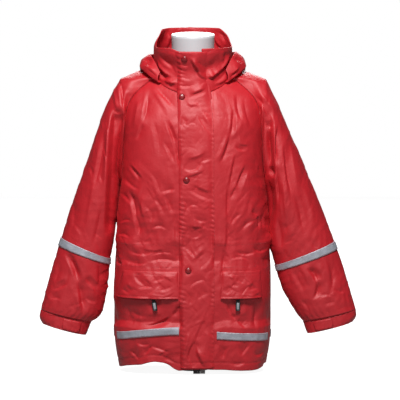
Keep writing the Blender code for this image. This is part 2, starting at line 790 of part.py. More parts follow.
# Front zip behind the panels' edges, and its lower end under the hem
def zip_place(across, up):
    x = between(ZIP_X - ZIP_HALF_WIDTH, ZIP_X + ZIP_HALF_WIDTH, across)
    z = between(ZIP_FOOT_Z, ZIP_TOP_Z, up)
    return on_front(x, z, np.full_like(z, -CLOTH - ZIP_GAP))


cloth("front_zip", zip_place, 2, 20, TAPE_WALL, BLACK)


# Storm flap with its snaps
def flap_place(across, up):
    z = between(FLAP_FOOT_Z, FLAP_TOP_Z, up)
    x = between(read(STORM_FLAP, "free_x", z), read(STORM_FLAP, "sewn_x", z), across)
    return front_and_collar(x, z, np.full_like(z, LAY_GAP))


cloth("storm_flap", flap_place, 4, 30, CLOTH, NYLON, 1)


def frame_at(place, x, z):
    """A matrix on a surface: X along it to the right, Y inwards and Z up along it."""
    step = 1e-3
    xs = np.array([x, x + step, x, x - step, x])
    zs = np.array([z, z, z + step, z, z - step])
    points = place(xs, zs)
    right = Vector(points[1] - points[3]).normalized()
    up = Vector(points[2] - points[4]).normalized()
    inward = up.cross(right).normalized()
    up = right.cross(inward).normalized()
    matrix = Matrix((right, inward, up)).transposed().to_4x4()
    matrix.translation = Vector(points[0])
    return matrix


# Snap caps: a turned dome with a flat rim
def build_snap(number, x, z):
    def above_flap(a, b):
        return front_and_collar(a, b, np.full_like(a, LAY_GAP + CLOTH + SNAP_SEAT))

    profile = [(0.0, 0.0), (1.0, 0.0), (1.0, 0.3), (0.86, 0.62), (0.55, 0.9), (0.0, 1.0)]
    bm = bmesh.new()
    verts = [bm.verts.new((r * SNAP_RADIUS, 0, h * SNAP_HEIGHT)) for r, h in profile]
    edges = [bm.edges.new(pair) for pair in zip(verts, verts[1:])]
    bmesh.ops.spin(
        bm, geom=verts + edges, cent=(0, 0, 0), axis=(0, 0, 1), angle=2 * math.pi, steps=12,
        use_merge=True,
    )
    bmesh.ops.remove_doubles(bm, verts=bm.verts, dist=1e-6)
    bmesh.ops.recalc_face_normals(bm, faces=bm.faces)
    made = show(f"snap_{number}", bm, SNAP_RED)
    made.matrix_world = frame_at(above_flap, x, z) @ Matrix.Rotation(math.pi / 2, 4, "X")


for number, x, z in zip(SNAPS["number"], SNAPS["across"], SNAPS["height"]):
    build_snap(int(number), x, z)


# Pocket flaps, which stand off the panel towards their lower edge
def pocket_flap(row):
    inner = (POCKETS["inner_foot"][row], POCKETS["inner_top"][row])
    outer = (POCKETS["outer_foot"][row], POCKETS["outer_top"][row])
    left, right = sorted((inner, outer))

    def place(across, up):
        x = between(between(*left, up), between(*right, up), across)
        z = between(POCKET_FOOT_Z, POCKET_TOP_Z, up)
        stand_off = LAY_GAP + FLAP_STAND_OFF * (1 - up) ** FLAP_STAND_CURVE
        return on_front(x, z, stand_off)

    return place


# Pocket zips, which lie under the flaps
def pocket_zip(row):
    ends = (POCKETS["inner_foot"][row], POCKETS["outer_foot"][row])
    inset = POCKET_ZIP_INSET
    left, right = sorted(between(*ends, np.array((inset, 1 - inset))))

    def place(across, up):
        x = between(left, right, across)
        z = POCKET_ZIP_Z + (up - 0.5) * POCKET_ZIP_HEIGHT
        return on_front(x, z, np.full_like(z, LAY_GAP))

    return place


def block(size, centre, bevel):
    """A box with rounded edges, as a bmesh."""
    bm = bmesh.new()
    bmesh.ops.create_cube(bm, size=1)
    bmesh.ops.scale(bm, verts=bm.verts, vec=size)
    bmesh.ops.translate(bm, verts=bm.verts, vec=centre)
    if bevel:
        bmesh.ops.bevel(
            bm, geom=bm.edges, offset=bevel, segments=1, profile=0.5, affect="EDGES", material=-1
        )
    return bm


def barrel(radius, length):
    """A cylinder along X, centred on the origin."""
    bm = bmesh.new()
    bmesh.ops.create_cone(
        bm, cap_ends=True, segments=12, radius1=radius, radius2=radius, depth=length
    )
    bmesh.ops.rotate(bm, verts=bm.verts, matrix=Matrix.Rotation(math.pi / 2, 3, "Y"))
    return bm


def join(made, others):
    """Join solids to an object by union, and remove them."""
    for other in others:
        union = made.modifiers.new("join", "BOOLEAN")
        union.operation = "UNION"
        union.solver = "EXACT"
        union.object = other
    bpy.context.view_layer.update()
    depsgraph = bpy.context.evaluated_depsgraph_get()
    mesh = bpy.data.meshes.new_from_object(made.evaluated_get(depsgraph))
    made.modifiers.clear()
    made.data = mesh
    for other in others:
        bpy.data.objects.remove(other, do_unlink=True)


# Slider and pull tab, about the hinge axis: X along it, Y inwards to the panel, Z up
def build_slider(name, place):
    ear_x = BARREL_LENGTH / 2 + SEAM_GAP + EAR_THICKNESS / 2
    zip_face = HINGE_STAND_OFF - LAY_GAP - TAPE_WALL - SEAM_GAP
    body_y = zip_face - SLIDER_DEPTH / 2
    body_z = 2 * BARREL_RADIUS + SLIDER_HEIGHT / 2
    body = block((SLIDER_WIDTH, SLIDER_DEPTH, SLIDER_HEIGHT), (0, body_y, body_z), SLIDER_BEVEL)
    slider = show("slider_" + name, body, BLACK)
    ears = []
    for ear_side in (-1, 1):
        size = (EAR_THICKNESS, EAR_DEPTH, EAR_HEIGHT)
        ear = block(size, (ear_side * ear_x, EAR_Y, EAR_Z), 0)
        ears.append(show("ear", ear, BLACK))
    join(slider, ears)
    slider.matrix_world = place


def build_pull(name, place):
    blade_z = -TAB_DROP - TAB_LENGTH / 2
    blade = block((TAB_WIDTH, TAB_THICKNESS, TAB_LENGTH), (0, 0, blade_z), TAB_BEVEL)
    pull = show("pull_" + name, blade, BLACK)
    throat_size = (BARREL_LENGTH - EAR_Y, TAB_NECK_DEPTH, TAB_NECK_HEIGHT)
    throat = show("throat", block(throat_size, (0, 0, -TAB_DROP), 0), BLACK)
    eye = show("eye", barrel(BARREL_RADIUS, BARREL_LENGTH), BLACK)
    join(pull, [throat, eye])
    pull.matrix_world = place


def above_panel(a, b):
    return on_front(a, b, np.full_like(a, HINGE_STAND_OFF))


for row, side in enumerate(POCKETS["side"]):
    name = SIDE_NAME[int(side)]
    cloth("pocket_flap_" + name, pocket_flap(row), 12, 3, CLOTH, NYLON, 1)
    cloth("pocket_zip_" + name, pocket_zip(row), 8, 1, TAPE_WALL, BLACK, 1)
    lean = Matrix.Rotation(math.radians(POCKETS["lean_degrees"][row]), 4, "Y")
    hinge = frame_at(above_panel, POCKETS["slider_x"][row], HINGE_Z) @ lean
    build_slider(name, hinge)
    build_pull(name, hinge)


# Reflective bands on the trunk
def body_band(start_x, end_x):
    def place(across, up):
        x = between(start_x, end_x, across)
        z = read(BODY_BAND, "height", x) + (up - 0.5) * BAND_HEIGHT
        return on_front(x, z, np.full_like(z, LAY_GAP))

    return place


def back_point(s, v):
    return trunk(1, -s, v)


def back_band(across, up):
    s = between(-BACK_BAND_END, BACK_BAND_END, across)
    outer = BODY_BAND["across"][-1]
    z = between(read(BODY_BAND, "height", outer), read(BODY_BAND, "height", -outer), across)
    z = z + (up - 0.5) * BAND_HEIGHT
    v = z / NECK_BACK_Z
    for _ in range(8):
        v = v + (z - back_point(s, v)[..., 2]) / NECK_BACK_Z
    return lifted(back_point, s, v, np.full_like(v, LAY_GAP))


band = body_band(*FRONT_BAND_LEFT)
cloth("band_front_left", band, 20, 1, TAPE_WALL, REFLECTIVE, 1)
band = body_band(*FRONT_BAND_RIGHT)
cloth("band_front_right", band, 18, 1, TAPE_WALL, REFLECTIVE, 1)
cloth("band_back", back_band, 18, 1, TAPE_WALL, REFLECTIVE, 1)


# Lower end of the front zip: its box and the stiffened end of its tape
def behind_front(a, b):
    return on_front(a, b, np.full_like(a, -ZIP_END_DEPTH))


end_place = frame_at(behind_front, ZIP_X, ZIP_END_SLOPE_Z)
end_place.translation.z = ZIP_END_Z
for name, x, width, depth, material in (
    ("zip_box", ZIP_BOX_X, ZIP_BOX_WIDTH, ZIP_BOX_DEPTH, BLACK),
    ("zip_tape_end", TAPE_END_X, TAPE_END_WIDTH, TAPE_END_DEPTH, GREY),
):
    made = show(name, block((width, depth, ZIP_END_HEIGHT), (0, 0, 0), ZIP_END_BEVEL), material)
    made.matrix_world = end_place @ Matrix.Translation((x - ZIP_X, 0, 0))
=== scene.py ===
import math

import bmesh
import bpy
import numpy as np
from mathutils import Matrix, Vector, noise


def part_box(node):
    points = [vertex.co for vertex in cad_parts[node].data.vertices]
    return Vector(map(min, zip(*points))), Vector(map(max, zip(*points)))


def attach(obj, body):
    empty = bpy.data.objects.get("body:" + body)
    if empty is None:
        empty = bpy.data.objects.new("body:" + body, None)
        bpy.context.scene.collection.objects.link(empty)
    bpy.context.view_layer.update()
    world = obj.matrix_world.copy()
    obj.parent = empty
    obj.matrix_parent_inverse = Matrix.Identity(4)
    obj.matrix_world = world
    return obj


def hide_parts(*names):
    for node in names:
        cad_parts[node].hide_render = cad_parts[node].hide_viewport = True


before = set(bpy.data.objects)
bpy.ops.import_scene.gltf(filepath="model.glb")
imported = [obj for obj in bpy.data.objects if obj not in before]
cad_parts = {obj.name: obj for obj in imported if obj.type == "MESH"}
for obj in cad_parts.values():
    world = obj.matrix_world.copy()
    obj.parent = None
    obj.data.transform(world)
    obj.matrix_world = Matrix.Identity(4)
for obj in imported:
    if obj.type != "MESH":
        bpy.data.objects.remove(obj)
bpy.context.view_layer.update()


# --- Dress form -------------------------------------------------------------------------
# A child's display form without head or arms, moulded smooth in pale matt plastic. The
# jacket rests on its shoulders, and it stands on a short flat foot inside the hem.


def table(names, *rows):
    """A table with named columns, as a dictionary of arrays."""
    columns = np.array(rows, dtype=float).T
    return dict(zip(names.split(), columns))


def read(source, name, where):
    """Column `name` at `where` along the table's first column, on a smooth curve."""
    keys = next(iter(source.values()))
    values = source[name]
    slopes = np.gradient(values, keys)
    where = np.clip(where, keys[0], keys[-1])
    low = np.clip(np.searchsorted(keys, where) - 1, 0, len(keys) - 2)
    step = keys[low + 1] - keys[low]
    t = (where - keys[low]) / step
    return (
        values[low] * (1 + 2 * t) * (1 - t) ** 2
        + values[low + 1] * t**2 * (3 - 2 * t)
        + step * slopes[low] * t * (1 - t) ** 2
        - step * slopes[low + 1] * t**2 * (1 - t)
    )


def ease(t):
    """A smooth step from 0 to 1."""
    t = np.clip(t, 0.0, 1.0)
    return t * t * (3 - 2 * t)


def between(low, high, t):
    return low + (high - low) * t


FORM = table(
    "height half_width half_depth middle_y",
    (0.000, 0.0330, 0.0330, 0.000),
    (0.006, 0.0315, 0.0315, 0.000),
    (0.034, 0.0310, 0.0310, 0.000),
    (0.044, 0.0560, 0.0420, 0.000),
    (0.050, 0.1000, 0.0640, 0.000),
    (0.062, 0.1220, 0.0750, 0.000),
    (0.130, 0.1360, 0.0860, 0.000),
    (0.230, 0.1320, 0.0820, 0.000),
    (0.330, 0.1210, 0.0720, 0.000),
    (0.430, 0.1330, 0.0830, 0.000),
    (0.530, 0.1410, 0.0880, 0.000),
    (0.590, 0.1430, 0.0760, 0.002),
    (0.618, 0.1390, 0.0580, 0.006),
    (0.636, 0.1330, 0.0420, 0.010),
    (0.6485, 0.1230, 0.0300, 0.012),
    (0.6550, 0.1030, 0.0310, 0.011),
    (0.6585, 0.0820, 0.0350, 0.008),
    (0.665, 0.0630, 0.0430, 0.004),
    (0.677, 0.0520, 0.0475, 0.000),
    (0.695, 0.0480, 0.0480, 0.000),
    (0.7400, 0.0473, 0.0473, 0.000),
)
FORM_TILT = math.tan(math.radians(3.5))
FORM_RINGS = 150


def laid_grid(place, columns, rows, width, length, tube=False):
    """A grid of cells laid on the surface place(across, up), with UVs in metres."""
    bm = bmesh.new()
    bmesh.ops.create_grid(bm, x_segments=columns, y_segments=rows, size=0.5)
    cut = bm.loops.layers.uv.new("cut")
    for face in bm.faces:
        for corner in face.loops:
            flat_x, flat_y = corner.vert.co[:2]
            corner[cut].uv = ((flat_x + 0.5) * width, (flat_y + 0.5) * length)
    flat = np.array([vertex.co[:2] for vertex in bm.verts]) + 0.5
    for vertex, point in zip(bm.verts, place(flat[:, 0], flat[:, 1])):
        vertex.co = point
    if tube:
        bmesh.ops.remove_doubles(bm, verts=bm.verts, dist=1e-6)
    return bm


def shown(name, bm, material):
    """Put a bmesh into the scene as one smooth named piece."""
    mesh = bpy.data.meshes.new(name)
    bm.to_mesh(mesh)
    bm.free()
    mesh.materials.append(material)
    mesh.shade_smooth()
    piece = bpy.data.objects.new(name, mesh)
    bpy.context.scene.collection.objects.link(piece)
    return piece


def new_material(name, roughness, metallic=0.0):
    """A material with its node tree, and its shader."""
    material = bpy.data.materials.new(name)
    material.use_nodes = True
    shader = material.node_tree.nodes["Principled BSDF"]
    shader.inputs["Roughness"].default_value = roughness
    shader.inputs["Metallic"].default_value = metallic
    return material, material.node_tree, shader


def form_point(across, up):
    heights = FORM["height"]
    height = np.interp(up, np.linspace(0, 1, len(heights)), heights)
    turn = 2 * math.pi * across
    x = read(FORM, "half_width", height) * np.sin(turn)
    y = read(FORM, "middle_y", height) - read(FORM, "half_depth", height) * np.cos(turn)
    return np.stack([x, y, height + y * FORM_TILT * ease((height - 0.66) / 0.08)], -1)


form_matt, tree, shader = new_material("pale_matt_plastic", 0.5)
shader.inputs["Coat Weight"].default_value = 0.08
shader.inputs["Coat Roughness"].default_value = 0.35
place = tree.nodes.new("ShaderNodeTexCoord")
mottle = tree.nodes.new("ShaderNodeTexNoise")
mottle.inputs["Scale"].default_value = 18
mottle.inputs["Detail"].default_value = 6
tint = tree.nodes.new("ShaderNodeValToRGB")
tint.color_ramp.elements[0].color = (0.55, 0.55, 0.57, 1)
tint.color_ramp.elements[1].color = (0.65, 0.65, 0.665, 1)
grain = tree.nodes.new("ShaderNodeTexNoise")
grain.inputs["Scale"].default_value = 900
bump = tree.nodes.new("ShaderNodeBump")
bump.inputs["Strength"].default_value = 0.12
bump.inputs["Distance"].default_value = 0.0003
tree.links.new(place.outputs["Object"], mottle.inputs["Vector"])
tree.links.new(place.outputs["Object"], grain.inputs["Vector"])
tree.links.new(mottle.outputs["Fac"], tint.inputs["Fac"])
tree.links.new(tint.outputs["Color"], shader.inputs["Base Color"])
tree.links.new(grain.outputs["Fac"], bump.inputs["Height"])
tree.links.new(bump.outputs["Normal"], shader.inputs["Normal"])

bm = laid_grid(form_point, 96, FORM_RINGS, 0.8, 0.74, tube=True)
rims = [edge for edge in bm.edges if edge.is_boundary]
caps = bmesh.ops.holes_fill(bm, edges=rims, sides=0)["faces"]
for inset in (0.0012, 0.004):
    bmesh.ops.inset_region(bm, faces=caps, thickness=inset, use_even_offset=True)
bmesh.ops.recalc_face_normals(bm, faces=bm.faces)
form = shown("form_body", bm, form_matt)
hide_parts("dress_form")
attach(form, "jacket")


# --- Fronts and back --------------------------------------------------------------------
# Two fronts and one back, cut from thin red nylon with a soft coating and sewn at the side
# seams. The cloth is full of buckles, and a drawstring tunnel is stitched round the waist.


UNDERARM_Z = 0.405
NECK_FRONT_Z = 0.6125
NECK_BACK_Z = 0.675
NECK_SIDE_LIFT = 0.016
TRUNK_SHIFT = -0.0015
UNDERARM_SHARE = UNDERARM_Z / NECK_BACK_Z
NECK_HALF_WIDTH = 0.088
NECK_FRONT_DEPTH = 0.080
NECK_BACK_DEPTH = 0.075
RAGLAN_FRONT_ANGLE = math.radians(70)
RAGLAN_BACK_ANGLE = math.radians(115)
ZIP_X = 0.0176
CLOTH_WALL = 0.0012
SEAM_GAP = 0.0003
LAY_GAP = 0.0008
HEM_STITCH = 0.0165

TRUNK_FRONT = table(
    "height half_width depth corner",
    (0.000, 0.1600, 0.104, 3.0),
    (0.060, 0.1700, 0.108, 3.1),
    (0.160, 0.1722, 0.110, 3.1),
    (0.240, 0.1710, 0.109, 3.0),
    (0.290, 0.1672, 0.104, 2.8),
    (0.335, 0.1648, 0.108, 2.8),
    (0.405, 0.1585, 0.110, 2.8),
    (0.500, 0.1555, 0.106, 2.8),
    (0.560, 0.1545, 0.0985, 2.6),
    (0.590, 0.1500, 0.0900, 2.3),
    (0.6125, 0.1400, 0.0800, 2.1),
    (0.634, 0.1150, 0.0618, 2.0),
    (0.6472, 0.0989, 0.0500, 2.0),
)
TRUNK_BACK = table(
    "height half_width depth corner",
    (0.000, 0.1600, 0.098, 2.8),
    (0.060, 0.1700, 0.100, 2.8),
    (0.160, 0.1722, 0.102, 2.8),
    (0.240, 0.1710, 0.100, 2.7),
    (0.290, 0.1672, 0.096, 2.6),
    (0.335, 0.1648, 0.099, 2.6),
    (0.405, 0.1585, 0.104, 2.6),
    (0.500, 0.1555, 0.106, 2.6),
    (0.560, 0.1545, 0.104, 2.5),
    (0.590, 0.1520, 0.102, 2.4),
    (0.6125, 0.1470, 0.099, 2.3),
    (0.634, 0.1350, 0.094, 2.2),
    (0.655, 0.1120, 0.085, 2.1),
    (0.670, 0.0885, 0.0755, 2.0),
)
RAGLAN_FRONT = table(
    "step across height",
    (0, 0.1585, 0.405),
    (1, 0.1545, 0.450),
    (2, 0.1515, 0.505),
    (3, 0.1475, 0.560),
    (4, 0.1415, 0.588),
    (5, 0.1290, 0.610),
    (6, 0.1060, 0.632),
    (7, 0.0827, 0.6472),
)
RAGLAN_BACK = table(
    "step across height",
    (0, 0.1585, 0.405),
    (1, 0.1545, 0.450),
    (2, 0.1515, 0.505),
    (3, 0.1475, 0.560),
    (4, 0.1430, 0.593),
    (5, 0.1330, 0.622),
    (6, 0.1100, 0.650),
    (7, 0.0798, 0.6700),
)
HEM = table(
    "angle height",
    (-180, 0.014),
    (-130, 0.017),
    (-90, 0.0085),
    (-60, 0.0155),
    (-35, 0.0215),
    (-18, 0.0285),
    (-10, 0.0220),
    (-6.5, 0.0125),
    (-4.5, 0.0092),
    (-1.5, 0.0115),
    (12, 0.0110),
    (30, 0.0090),
    (56, 0.0085),
    (75, 0.0125),
    (90, 0.0170),
    (130, 0.010),
    (180, 0.014),
)
# Creases, as seen from in front: from one point to the other in millimetres, how far the
# line bows, its half width, and its depth, below 0 for a trough and above 0 for a ridge
FRONT_CREASES = (
    (-98, 623, -110, 548, -2, 5, -5.2),
    (-109, 553, -125, 513, -1, 4, -3.8),
    (-119, 606, -132, 535, -2, 6, 3),
    (-88, 566, -73, 473, -3, 7, -3),
    (-62, 562, -37, 495, -3, 3.5, -4.8),
    (-42, 513, -30, 449, -3, 3.5, -4.5),
    (-55, 566, -29, 504, -2, 4, 2.4),
    (-66, 517, -37, 460, -1, 4, -3.3),
    (-139, 464, -106, 429, -1, 3.5, 3.9),
    (-143, 458, -114, 424, -2, 4, -3.3),
    (-86, 630, -35, 577, -2, 4, -4.5),
    (-95, 628, -51, 566, -3, 5, 2.7),
    (-152, 429, -114, 405, 3, 4, -3.8),
    (-158, 396, -132, 371, -2, 4, -3.3),
    (-73, 400, -35, 409, -2, 5, -3.9),
    (-95, 447, -73, 394, -6, 5, -2.7),
    (-141, 407, -123, 336, -2, 4.5, -7.5),
    (-128, 354, -119, 303, -3, 5, -6),
    (-125, 402, -103, 327, -3, 6, 3.3),
    (-62, 402, -42, 349, -0, 4, -4.5),
    (-42, 363, -37, 283, -2, 4, -4.5),
    (-40, 296, -29, 243, 1, 3.5, -3.8),
    (-161, 327, -130, 336, -6, 3, -3.6),
    (-165, 301, -134, 298, -6, 3, -3.9),
    (-106, 374, -95, 327, -10, 4, -2.7),
    (-88, 389, -66, 354, -5, 4, -3),
    (-95, 318, -51, 314, -11, 3.5, -3),
    (-156, 250, -95, 248, 5, 3, -4.2),
    (-99, 248, -33, 248, -7, 3, -3.9),
    (-147, 274, -81, 274, 9, 3, -3.3),
    (-117, 281, -59, 281, 7, 3, 2.4),
    (-95, 261, -37, 263, -8, 2.5, -2.7),
    (-172, 243, -156, 241, 1, 2.5, -5.0),
    (-29, 161, -48, 128, -3, 3.5, -6.4),
    (-44, 133, -108, 108, -6, 3.5, -6.2),
    (-37, 124, -103, 100, -6, 5, 2.7),
    (-143, 144, -95, 131, 8, 6, -3),
    (-152, 155, -156, 106, -11, 6, -3.3),
    (-143, 53, -117, 29, -1, 4, -3.6),
    (-110, 40, -86, 69, -0, 4, -3.9),
    (-95, 64, -51, 49, -1, 4, -3.6),
    (-66, 40, -40, 27, 1, 3.5, -3.3),
    (-128, 73, -90, 71, 6, 4, -2.7),
    (-81, 40, -37, 64, -3, 4, 2.7),
    (87, 584, 81, 522, -3, 4.5, -5.4),
    (82, 535, 57, 462, -4, 4.5, -5.7),
    (95, 579, 88, 517, -3, 6, 3.3),
    (73, 531, 44, 464, -4, 5, 2.7),
    (94, 491, 77, 407, -1, 4, -4.8),
    (77, 420, 75, 332, 1, 3.5, -4.5),
    (75, 349, 70, 265, -2, 3.2, -4.5),
    (70, 283, 59, 186, 0, 3, -3.9),
    (117, 464, 92, 402, 1, 4, -4.5),
    (95, 416, 81, 385, 0, 4, -3.3),
    (123, 451, 101, 394, 1, 5, 3),
    (90, 504, 119, 493, 4, 3.5, -3.6),
    (97, 511, 125, 504, 3, 3, 2.2),
    (95, 619, 108, 550, 4, 5, -3.6),
    (110, 610, 130, 535, 3, 6, -2.7),
    (81, 327, 108, 358, -3, 3.5, -3.6),
    (103, 314, 139, 340, -5, 4, -3),
    (136, 352, 141, 316, -4, 2.6, -4.5),
    (147, 354, 150, 314, -3, 2.6, -4.2),
    (156, 345, 158, 312, -2, 2.4, -3.6),
    (125, 365, 147, 349, 4, 3, -3),
    (88, 274, 143, 272, 8, 3, -3.9),
    (130, 281, 165, 274, 8, 3.5, -5.1),
    (77, 252, 130, 248, -9, 3, -3),
    (75, 164, 99, 117, 6, 4, -4.5),
    (95, 124, 119, 102, 1, 4, -3.9),
    (88, 159, 125, 133, 6, 6, 2.7),
    (136, 164, 134, 97, -3, 7, -5.4),
    (68, 31, 79, 66, -4, 3.5, -4.2),
    (103, 40, 125, 69, 1, 4, -3.3),
    (81, 27, 117, 31, 7, 4, -3),
    (130, 49, 161, 53, 11, 4, -3),
)
BACK_CREASES = (
    (78, 487, 71, 382, 0, 5, -4.2),
    (-55, 528, -33, 466, -5, 4, -4.2),
    (87, 565, 73, 496, 2, 4, -4.2),
    (-102, 476, -74, 400, -4, 6, -4.5),
    (98, 536, 65, 436, -5, 4.5, -3.9),
    (-59, 552, -29, 452, -0, 6, -3.9),
    (91, 576, 76, 491, -4, 4.5, -5.1),
    (-101, 530, -66, 409, -3, 4, -5.1),
    (95, 489, 53, 405, -1, 4, -4.2),
    (-100, 571, -68, 489, 1, 6, -5.1),
    (124, 579, 92, 485, -5, 5, -4.2),
    (-137, 565, -117, 485, 2, 4, 3.3),
    (-40, 385, -41, 340, -3, 5, -4.5),
    (-29, 413, -29, 370, -1, 4.5, -4.5),
    (89, 408, 80, 354, -2, 4.5, -4.5),
    (-98, 346, -110, 300, -0, 5, -4.5),
    (-66, 330, -70, 279, 1, 4, -5.1),
    (126, 389, 137, 333, 4, 5, -5.1),
    (-30, 366, -48, 302, -5, 4, -4.5),
    (-17, 340, -12, 300, 1, 5, -6),
    (126, 385, 107, 341, -1, 5, -3.9),
    (128, 384, 126, 344, -0, 4.5, 3.3),
    (-24, 253, 4, 250, -3, 3, -4.2),
    (-97, 326, -61, 329, 6, 3.5, -4.2),
    (31, 268, 67, 262, 4, 3.5, -3.6),
    (9, 312, 57, 307, -4, 3.5, -3.6),
    (-98, 287, -51, 296, 4, 3.5, 2.7),
    (-100, 297, -64, 302, 3, 3.5, 2.7),
    (-129, 255, -90, 252, -0, 3, -3.3),
    (86, 275, 131, 281, -5, 3.5, -3.6),
    (-26, 261, 23, 258, 4, 3.5, -3.3),
    (-46, 326, 1, 320, -5, 3, -3.3),
    (89, 93, 114, 24, 2, 6, -3.6),
    (14, 90, -23, 22, 2, 5, -4.2),
    (141, 100, 170, 74, -4, 5, 2.7),
    (-50, 154, -25, 127, 3, 7, 2.7),
    (91, 150, 116, 86, -5, 5, 2.7),
    (3, 205, 24, 153, 4, 5, -3.6),
    (-104, 166, -133, 138, 3, 7, -4.5),
    (111, 79, 88, 52, -6, 7, 2.7),
    (-137, 209, -170, 169, 7, 5, 3),
    (-14, 153, -15, 85, 3, 6, 2.7),
    (114, 101, 110, 58, -2, 6, -4.5),
    (50, 136, 28, 98, -5, 5, 3),
    (-104, 207, -68, 172, 6, 7, -4.2),
    (-98, 174, -119, 117, 7, 7, 3),
    (-23, 125, -54, 84, -2, 7, -4.2),
    (59, 130, 60, 91, 6, 4, -3.6),
)
SIDE_SWELL = 0.0025
# The skirt hangs out at the pocket flaps, in under them, and out again at the bands
SKIRT_Z = (0.0, 0.045, 0.075, 0.102, 0.116, 0.165, 0.200, 0.235)
SKIRT_OUT = (0.0, -0.0015, 0.0005, 0.0025, -0.0060, 0.0040, 0.0025, 0.0)
# The flap and the pocket flaps, under which the front lies calm
FLAP_CALM = (-0.0270, 0.0470)
POCKET_CALM = ((-0.1640, -0.0310), (0.0600, 0.1480))
PULL_CALM = (-0.0850, 0.0975)
POCKET_CALM_Z = (0.166, 0.2285)


def section(source, angle, height):
    """The point of a trunk section at an angle from its middle line, at a height."""
    half_width = read(source, "half_width", height)
    depth = read(source, "depth", height)
    power = 2 / read(source, "corner", height)
    across = np.sign(np.sin(angle)) * np.abs(np.sin(angle)) ** power
    out = np.clip(np.cos(angle), 0, 1) ** power
    return half_width * across, depth * out


def section_angle(source, across, height):
    """The angle at which a section reaches this distance across."""
    ratio = np.clip(np.abs(across) / read(source, "half_width", height), 0, 1)
    return np.sign(across) * np.arcsin(ratio ** (read(source, "corner", height) / 2))


def neck(angle):
    """The neck seam, by the angle from the front."""
    depth = np.where(np.cos(angle) > 0, NECK_FRONT_DEPTH, NECK_BACK_DEPTH)
    middle = (NECK_FRONT_Z + NECK_BACK_Z) / 2
    slope = (NECK_BACK_Z - NECK_FRONT_Z) / 2
    x = NECK_HALF_WIDTH * np.sin(angle)
    y = -depth * np.cos(angle)
    z = middle - slope * np.cos(angle) + NECK_SIDE_LIFT * np.sin(angle) ** 2
    return np.stack([x, y, z], -1)


def trunk_row(source, seam, v):
    """Side height and widest angle of the panel's row v, 0 at the hem and 1 at the neck."""
    step = np.clip((v - UNDERARM_SHARE) / (1 - UNDERARM_SHARE), 0, 1) * seam["step"][-1]
    across = read(seam, "across", step)
    height = read(seam, "height", step)
    low = v < UNDERARM_SHARE
    side_height = np.where(low, v / UNDERARM_SHARE * UNDERARM_Z, height)
    side_angle = np.where(low, math.pi / 2, section_angle(source, across, height))
    return side_height, side_angle


def trunk(facing, s, v):
    """The trunk's outer surface: facing -1 is the front, s runs from -1 to 1 across."""
    front = facing < 0
    source = TRUNK_FRONT if front else TRUNK_BACK
    middle_z = NECK_FRONT_Z if front else NECK_BACK_Z
    side_height, side_angle = trunk_row(source, RAGLAN_FRONT if front else RAGLAN_BACK, v)
    angle = s * side_angle
    height = v * middle_z + (side_height - v * middle_z) * s**2
    sign = np.where(s < 0, -1, 1)
    round_angle = np.degrees(angle) if front else sign * 180 - np.degrees(angle)
    height = height + read(HEM, "height", round_angle) * (1 - ease(v * 5))
    x, out = section(source, angle, height)
    points = np.stack([x, facing * out, height], -1)
    if front:
        neck_angle = s * RAGLAN_FRONT_ANGLE
    else:
        neck_angle = sign * math.pi - s * (math.pi - RAGLAN_BACK_ANGLE)
    pull = ease((v - 0.86) / 0.14)[..., None] ** 2
    points = points + pull * (neck(neck_angle) - points)
    points[..., 0] += TRUNK_SHIFT * (1 - ease(v * 1.6))
    return points


def share_at(facing, x, v):
    """The share s at which the trunk's row v reaches x."""
    low = np.full(np.shape(v), -1.0)
    high = np.full(np.shape(v), 1.0)
    for _ in range(26):
        middle = (low + high) / 2
        short = trunk(facing, middle, v)[..., 0] < x
        low = np.where(short, middle, low)
        high = np.where(short, high, middle)
    return (low + high) / 2


def front_at(x, z):
    """The shares s and v of the front's point at x and z."""
    v = np.clip(z / NECK_FRONT_Z, 0, 1)
    for _ in range(8):
        s = share_at(-1, x, v)
        v = np.clip(v + (z - trunk(-1, s, v)[..., 2]) / NECK_FRONT_Z, 0, 1)
    return share_at(-1, x, v), v


def lifted(surface, a, b, distance):
    """Points of a surface, moved out along its normal."""
    step = 1e-4
    across = surface(a + step, b) - surface(a - step, b)
    up = surface(a, b + step) - surface(a, b - step)
    normal = np.cross(across, up)
    normal /= np.linalg.norm(normal, axis=-1, keepdims=True)
    return surface(a, b) + normal * np.asarray(distance)[..., None]


def wander(points, size, seed):
    """A smooth random value at each point, about -1 to 1, that changes over a size."""
    places = (points / np.array(size) + seed).reshape(-1, 3)
    return np.array([noise.noise(place) for place in places]).reshape(points.shape[:-1])


def facets(points, pitch, tilt, seed):
    """Long flat facets that meet in sharp lines, which lean by the tilt and wander."""
    x, y, z = np.moveaxis(points, -1, 0)
    across = (x + 0.6 * y) * math.cos(tilt) - z * math.sin(tilt)
    drift = 1.5 * wander(points, (0.07, 0.07, 0.10), seed)
    turn = across / pitch + drift + 0.35 * wander(points, (0.024, 0.024, 0.032), seed + 3.3)
    wave = 2 * np.abs(turn - np.floor(turn + 0.5))
    patch = ease(0.30 + 2.0 * wander(points, (0.045, 0.045, 0.06), seed + 5.5))
    return (wave - 0.5) * patch


def crumple(points, size, seed, tilt=0.0):
    """Crumpled thin cloth: slow waves, with facets in four directions over them."""
    across, along = size
    height = 0.0018 * wander(points, (across * 2, across * 2, along * 2), seed)
    for number, (lean, share) in enumerate(((0.1, 1.0), (0.75, 0.8), (-0.65, 0.66), (1.4, 0.5))):
        height += 0.0010 * share * facets(points, across * share, tilt + lean, seed + 11.3 * number)
    return height


